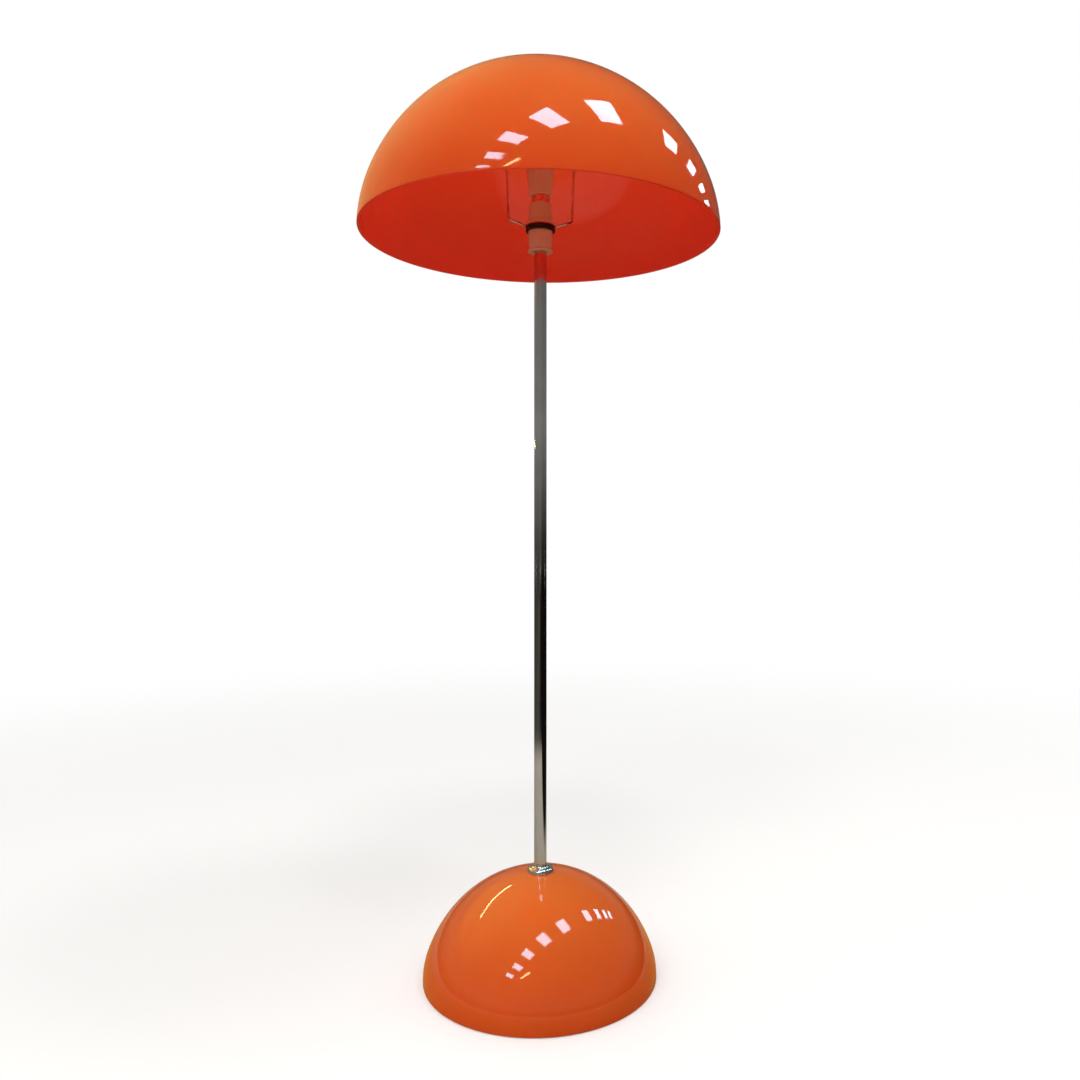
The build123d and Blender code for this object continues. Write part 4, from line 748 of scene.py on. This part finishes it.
for position, grey in ((0.04, 0.08), (0.10, 0.17), (0.18, 0.24), (0.28, 0.20), (0.45, 0.10), (0.7, 0.07)):
    by_height.color_ramp.elements.new(position).color = (grey, grey * 0.98, grey * 0.93, 1.0)
to_right = soft_step(tree, 0.1, 0.7, To_Min=1.0)
right_low = add_node(tree, "ShaderNodeMapRange", From_Min=0.04, From_Max=0.14, To_Min=0.3, To_Max=0.85)
tree.links.new(apart.outputs["Z"], right_low.inputs["Value"])
tree.links.new(right_low.outputs["Result"], to_right.inputs["To Max"])
shaded, shaded_by, shaded_a, shaded_b, shaded_colour = colour_mix(tree)
shaded.blend_type = "MULTIPLY"
shaded_by.default_value = 1.0
warm_way = add_node(tree, "ShaderNodeVectorMath", operation="DOT_PRODUCT")
warm_way.inputs[1].default_value = (-0.70, 0.50, 0.50)
warm_share = soft_step(tree, 0.60, 0.98)
warm_high = soft_step(tree, 0.28, 0.42)
warm_both = add_node(tree, "ShaderNodeMath", operation="MULTIPLY")
_, warm_by, warm_a, warm_b, warm_colour = colour_mix(tree)
warm_b.default_value = (0.9, 0.50, 0.20, 1.0)
cloth_glow = add_node(tree, "ShaderNodeEmission", Strength=1.0)
cloth_out = add_node(tree, "ShaderNodeOutputMaterial")
tree.links.new(place, facing_way.inputs[0])
tree.links.new(facing_way.outputs["Vector"], apart.inputs["Vector"])
tree.links.new(apart.outputs["Z"], by_height.inputs["Fac"])
tree.links.new(apart.outputs["X"], to_right.inputs["Value"])
tree.links.new(by_height.outputs["Color"], shaded_a)
tree.links.new(to_right.outputs["Result"], shaded_b)
tree.links.new(facing_way.outputs["Vector"], warm_way.inputs[0])
tree.links.new(warm_way.outputs["Value"], warm_share.inputs["Value"])
tree.links.new(apart.outputs["Z"], warm_high.inputs["Value"])
tree.links.new(warm_share.outputs["Result"], warm_both.inputs[0])
tree.links.new(warm_high.outputs["Result"], warm_both.inputs[1])
tree.links.new(warm_both.outputs["Value"], warm_by)
tree.links.new(shaded_colour, warm_a)
tree.links.new(warm_colour, cloth_glow.inputs["Color"])
tree.links.new(cloth_glow.outputs["Emission"], cloth_out.inputs["Surface"])
drapes.data.materials.append(drape_cloth)

# The mat lies on the floor: warm beside the foot, where orange light thrown down by the foot
# is painted on, then pale to about a metre on the left and half a metre on the right, and
# dark further out.
mat = flat_square("studio_mat", 8.5, 0.0004)
for_mirrors_only(mat)
mat_cloth, tree, shader, place = material_for("mat_cloth", (0.4, 0.37, 0.32), 1.0, Specular_IOR_Level=0.0)
away = add_node(tree, "ShaderNodeVectorMath", operation="LENGTH")
beside = soft_step(tree, 0.25, 0.45)
edge = soft_step(tree, 0.98, 1.22)
apart = add_node(tree, "ShaderNodeSeparateXYZ")
right_edge = soft_step(tree, 0.38, 0.56)
either = add_node(tree, "ShaderNodeMath", operation="MAXIMUM")
far_left = soft_step(tree, -1.2, 0.6)
_, near_by, painted_foot_bounce, near_pale, near_colour = colour_mix(tree)
_, far_by, far_dim, far_black, far_colour = colour_mix(tree)
_, mat_by, mat_near, mat_far, mat_colour = colour_mix(tree)
# Painted orange light from the foot's bounce, on the mat beside it.
painted_foot_bounce.default_value = (0.62, 0.36, 0.10, 1.0)
near_pale.default_value = (0.46, 0.42, 0.36, 1.0)
far_dim.default_value = (0.07, 0.063, 0.053, 1.0)
far_black.default_value = (0.006, 0.005, 0.005, 1.0)
tree.links.new(place, away.inputs[0])
tree.links.new(place, apart.inputs["Vector"])
tree.links.new(away.outputs["Value"], beside.inputs["Value"])
tree.links.new(away.outputs["Value"], edge.inputs["Value"])
tree.links.new(apart.outputs["X"], right_edge.inputs["Value"])
tree.links.new(apart.outputs["X"], far_left.inputs["Value"])
tree.links.new(edge.outputs["Result"], either.inputs[0])
tree.links.new(right_edge.outputs["Result"], either.inputs[1])
tree.links.new(beside.outputs["Result"], near_by)
tree.links.new(far_left.outputs["Result"], far_by)
tree.links.new(near_colour, mat_near)
tree.links.new(far_colour, mat_far)
tree.links.new(either.outputs["Value"], mat_by)
tree.links.new(mat_colour, shader.inputs["Base Color"])
mat.data.materials.append(mat_cloth)


def glow_for(name, colour, strength):
    """A plain glow that leaves a thing's lower face only, so it is seen from below."""
    made = bpy.data.materials.new(name)
    made.use_nodes = True
    tree = made.node_tree
    tree.nodes.clear()
    glow = add_node(tree, "ShaderNodeEmission", Strength=strength, Color=(*colour, 1.0))
    clear = add_node(tree, "ShaderNodeBsdfTransparent")
    faces = add_node(tree, "ShaderNodeNewGeometry")
    side = add_node(tree, "ShaderNodeMixShader")
    out = add_node(tree, "ShaderNodeOutputMaterial")
    tree.links.new(faces.outputs["Backfacing"], side.inputs["Fac"])
    tree.links.new(glow.outputs["Emission"], side.inputs[1])
    tree.links.new(clear.outputs["BSDF"], side.inputs[2])
    tree.links.new(side.outputs["Shader"], out.inputs["Surface"])
    return made


def hung_flat(name, x, y, z, wide, long, turn, glow):
    """A flat rectangle that faces down and is turned about the vertical, for mirrors."""
    turn = math.radians(turn)
    along = np.array([math.cos(turn), math.sin(turn), 0.0]) * wide / 2
    across = np.array([-math.sin(turn), math.cos(turn), 0.0]) * long / 2
    middle = np.array([x, y, z])
    corners = np.array([[middle - along - across, middle + along - across],
                        [middle - along + across, middle + along + across]])
    hung = grid_mesh(name, corners, False, False)
    for_mirrors_only(hung)
    hung.data.materials.append(glow)


def ceiling_light(name, x, y, z, wide, long, turn, power, colour):
    """A rectangular light on the ceiling, facing down, turned about the vertical, that
    lights but is not mirrored."""
    light = bpy.data.lights.new(name, "AREA")
    light.shape = "RECTANGLE"
    light.size = wide
    light.size_y = long
    light.energy = power
    light.color = colour
    hung = bpy.data.objects.new(name, light)
    hung.location = (x, y, z)
    hung.rotation_euler = (0.0, 0.0, math.radians(turn))
    hung.visible_glossy = False
    bpy.context.scene.collection.objects.link(hung)


panel_glow = glow_for("panel_glow", (0.42, 0.80, 1.0), 16.5)
tube_glow = glow_for("warm_tube_glow", (1.0, 0.80, 0.38), 18.0)
panel_places = ((1.18, -0.41), (0.20, -1.36), (-0.79, -2.29), (-1.76, -3.27), (-2.82, -4.12),
                (2.55, 1.02), (3.42, 1.97), (4.3, 2.87), (5.1, 3.75))
ceiling, under_ceiling = 3.4, 3.39
# Width, length and turn of the square panels, and the turn of the two tubes.
panel_shape, tube_turn = (0.56, 0.73, 46.0), 38.0
first_far_panel, near_power, far_power = 5, 20.0, 6.0
for number, (x, y) in enumerate(panel_places):
    power = near_power if number < first_far_panel else far_power
    ceiling_light(f"panel_{number}", x, y, ceiling, *panel_shape, power, (1.0, 0.98, 0.96))
    hung_flat(f"panel_glow_{number}", x, y, under_ceiling, *panel_shape, panel_glow)
hung_flat("warm_tube_front", -1.33, -4.29, under_ceiling, 1.2, 0.20, tube_turn, tube_glow)
hung_flat("warm_tube_side", -0.51, 0.50, 0.70, 0.55, 0.046, tube_turn, tube_glow)
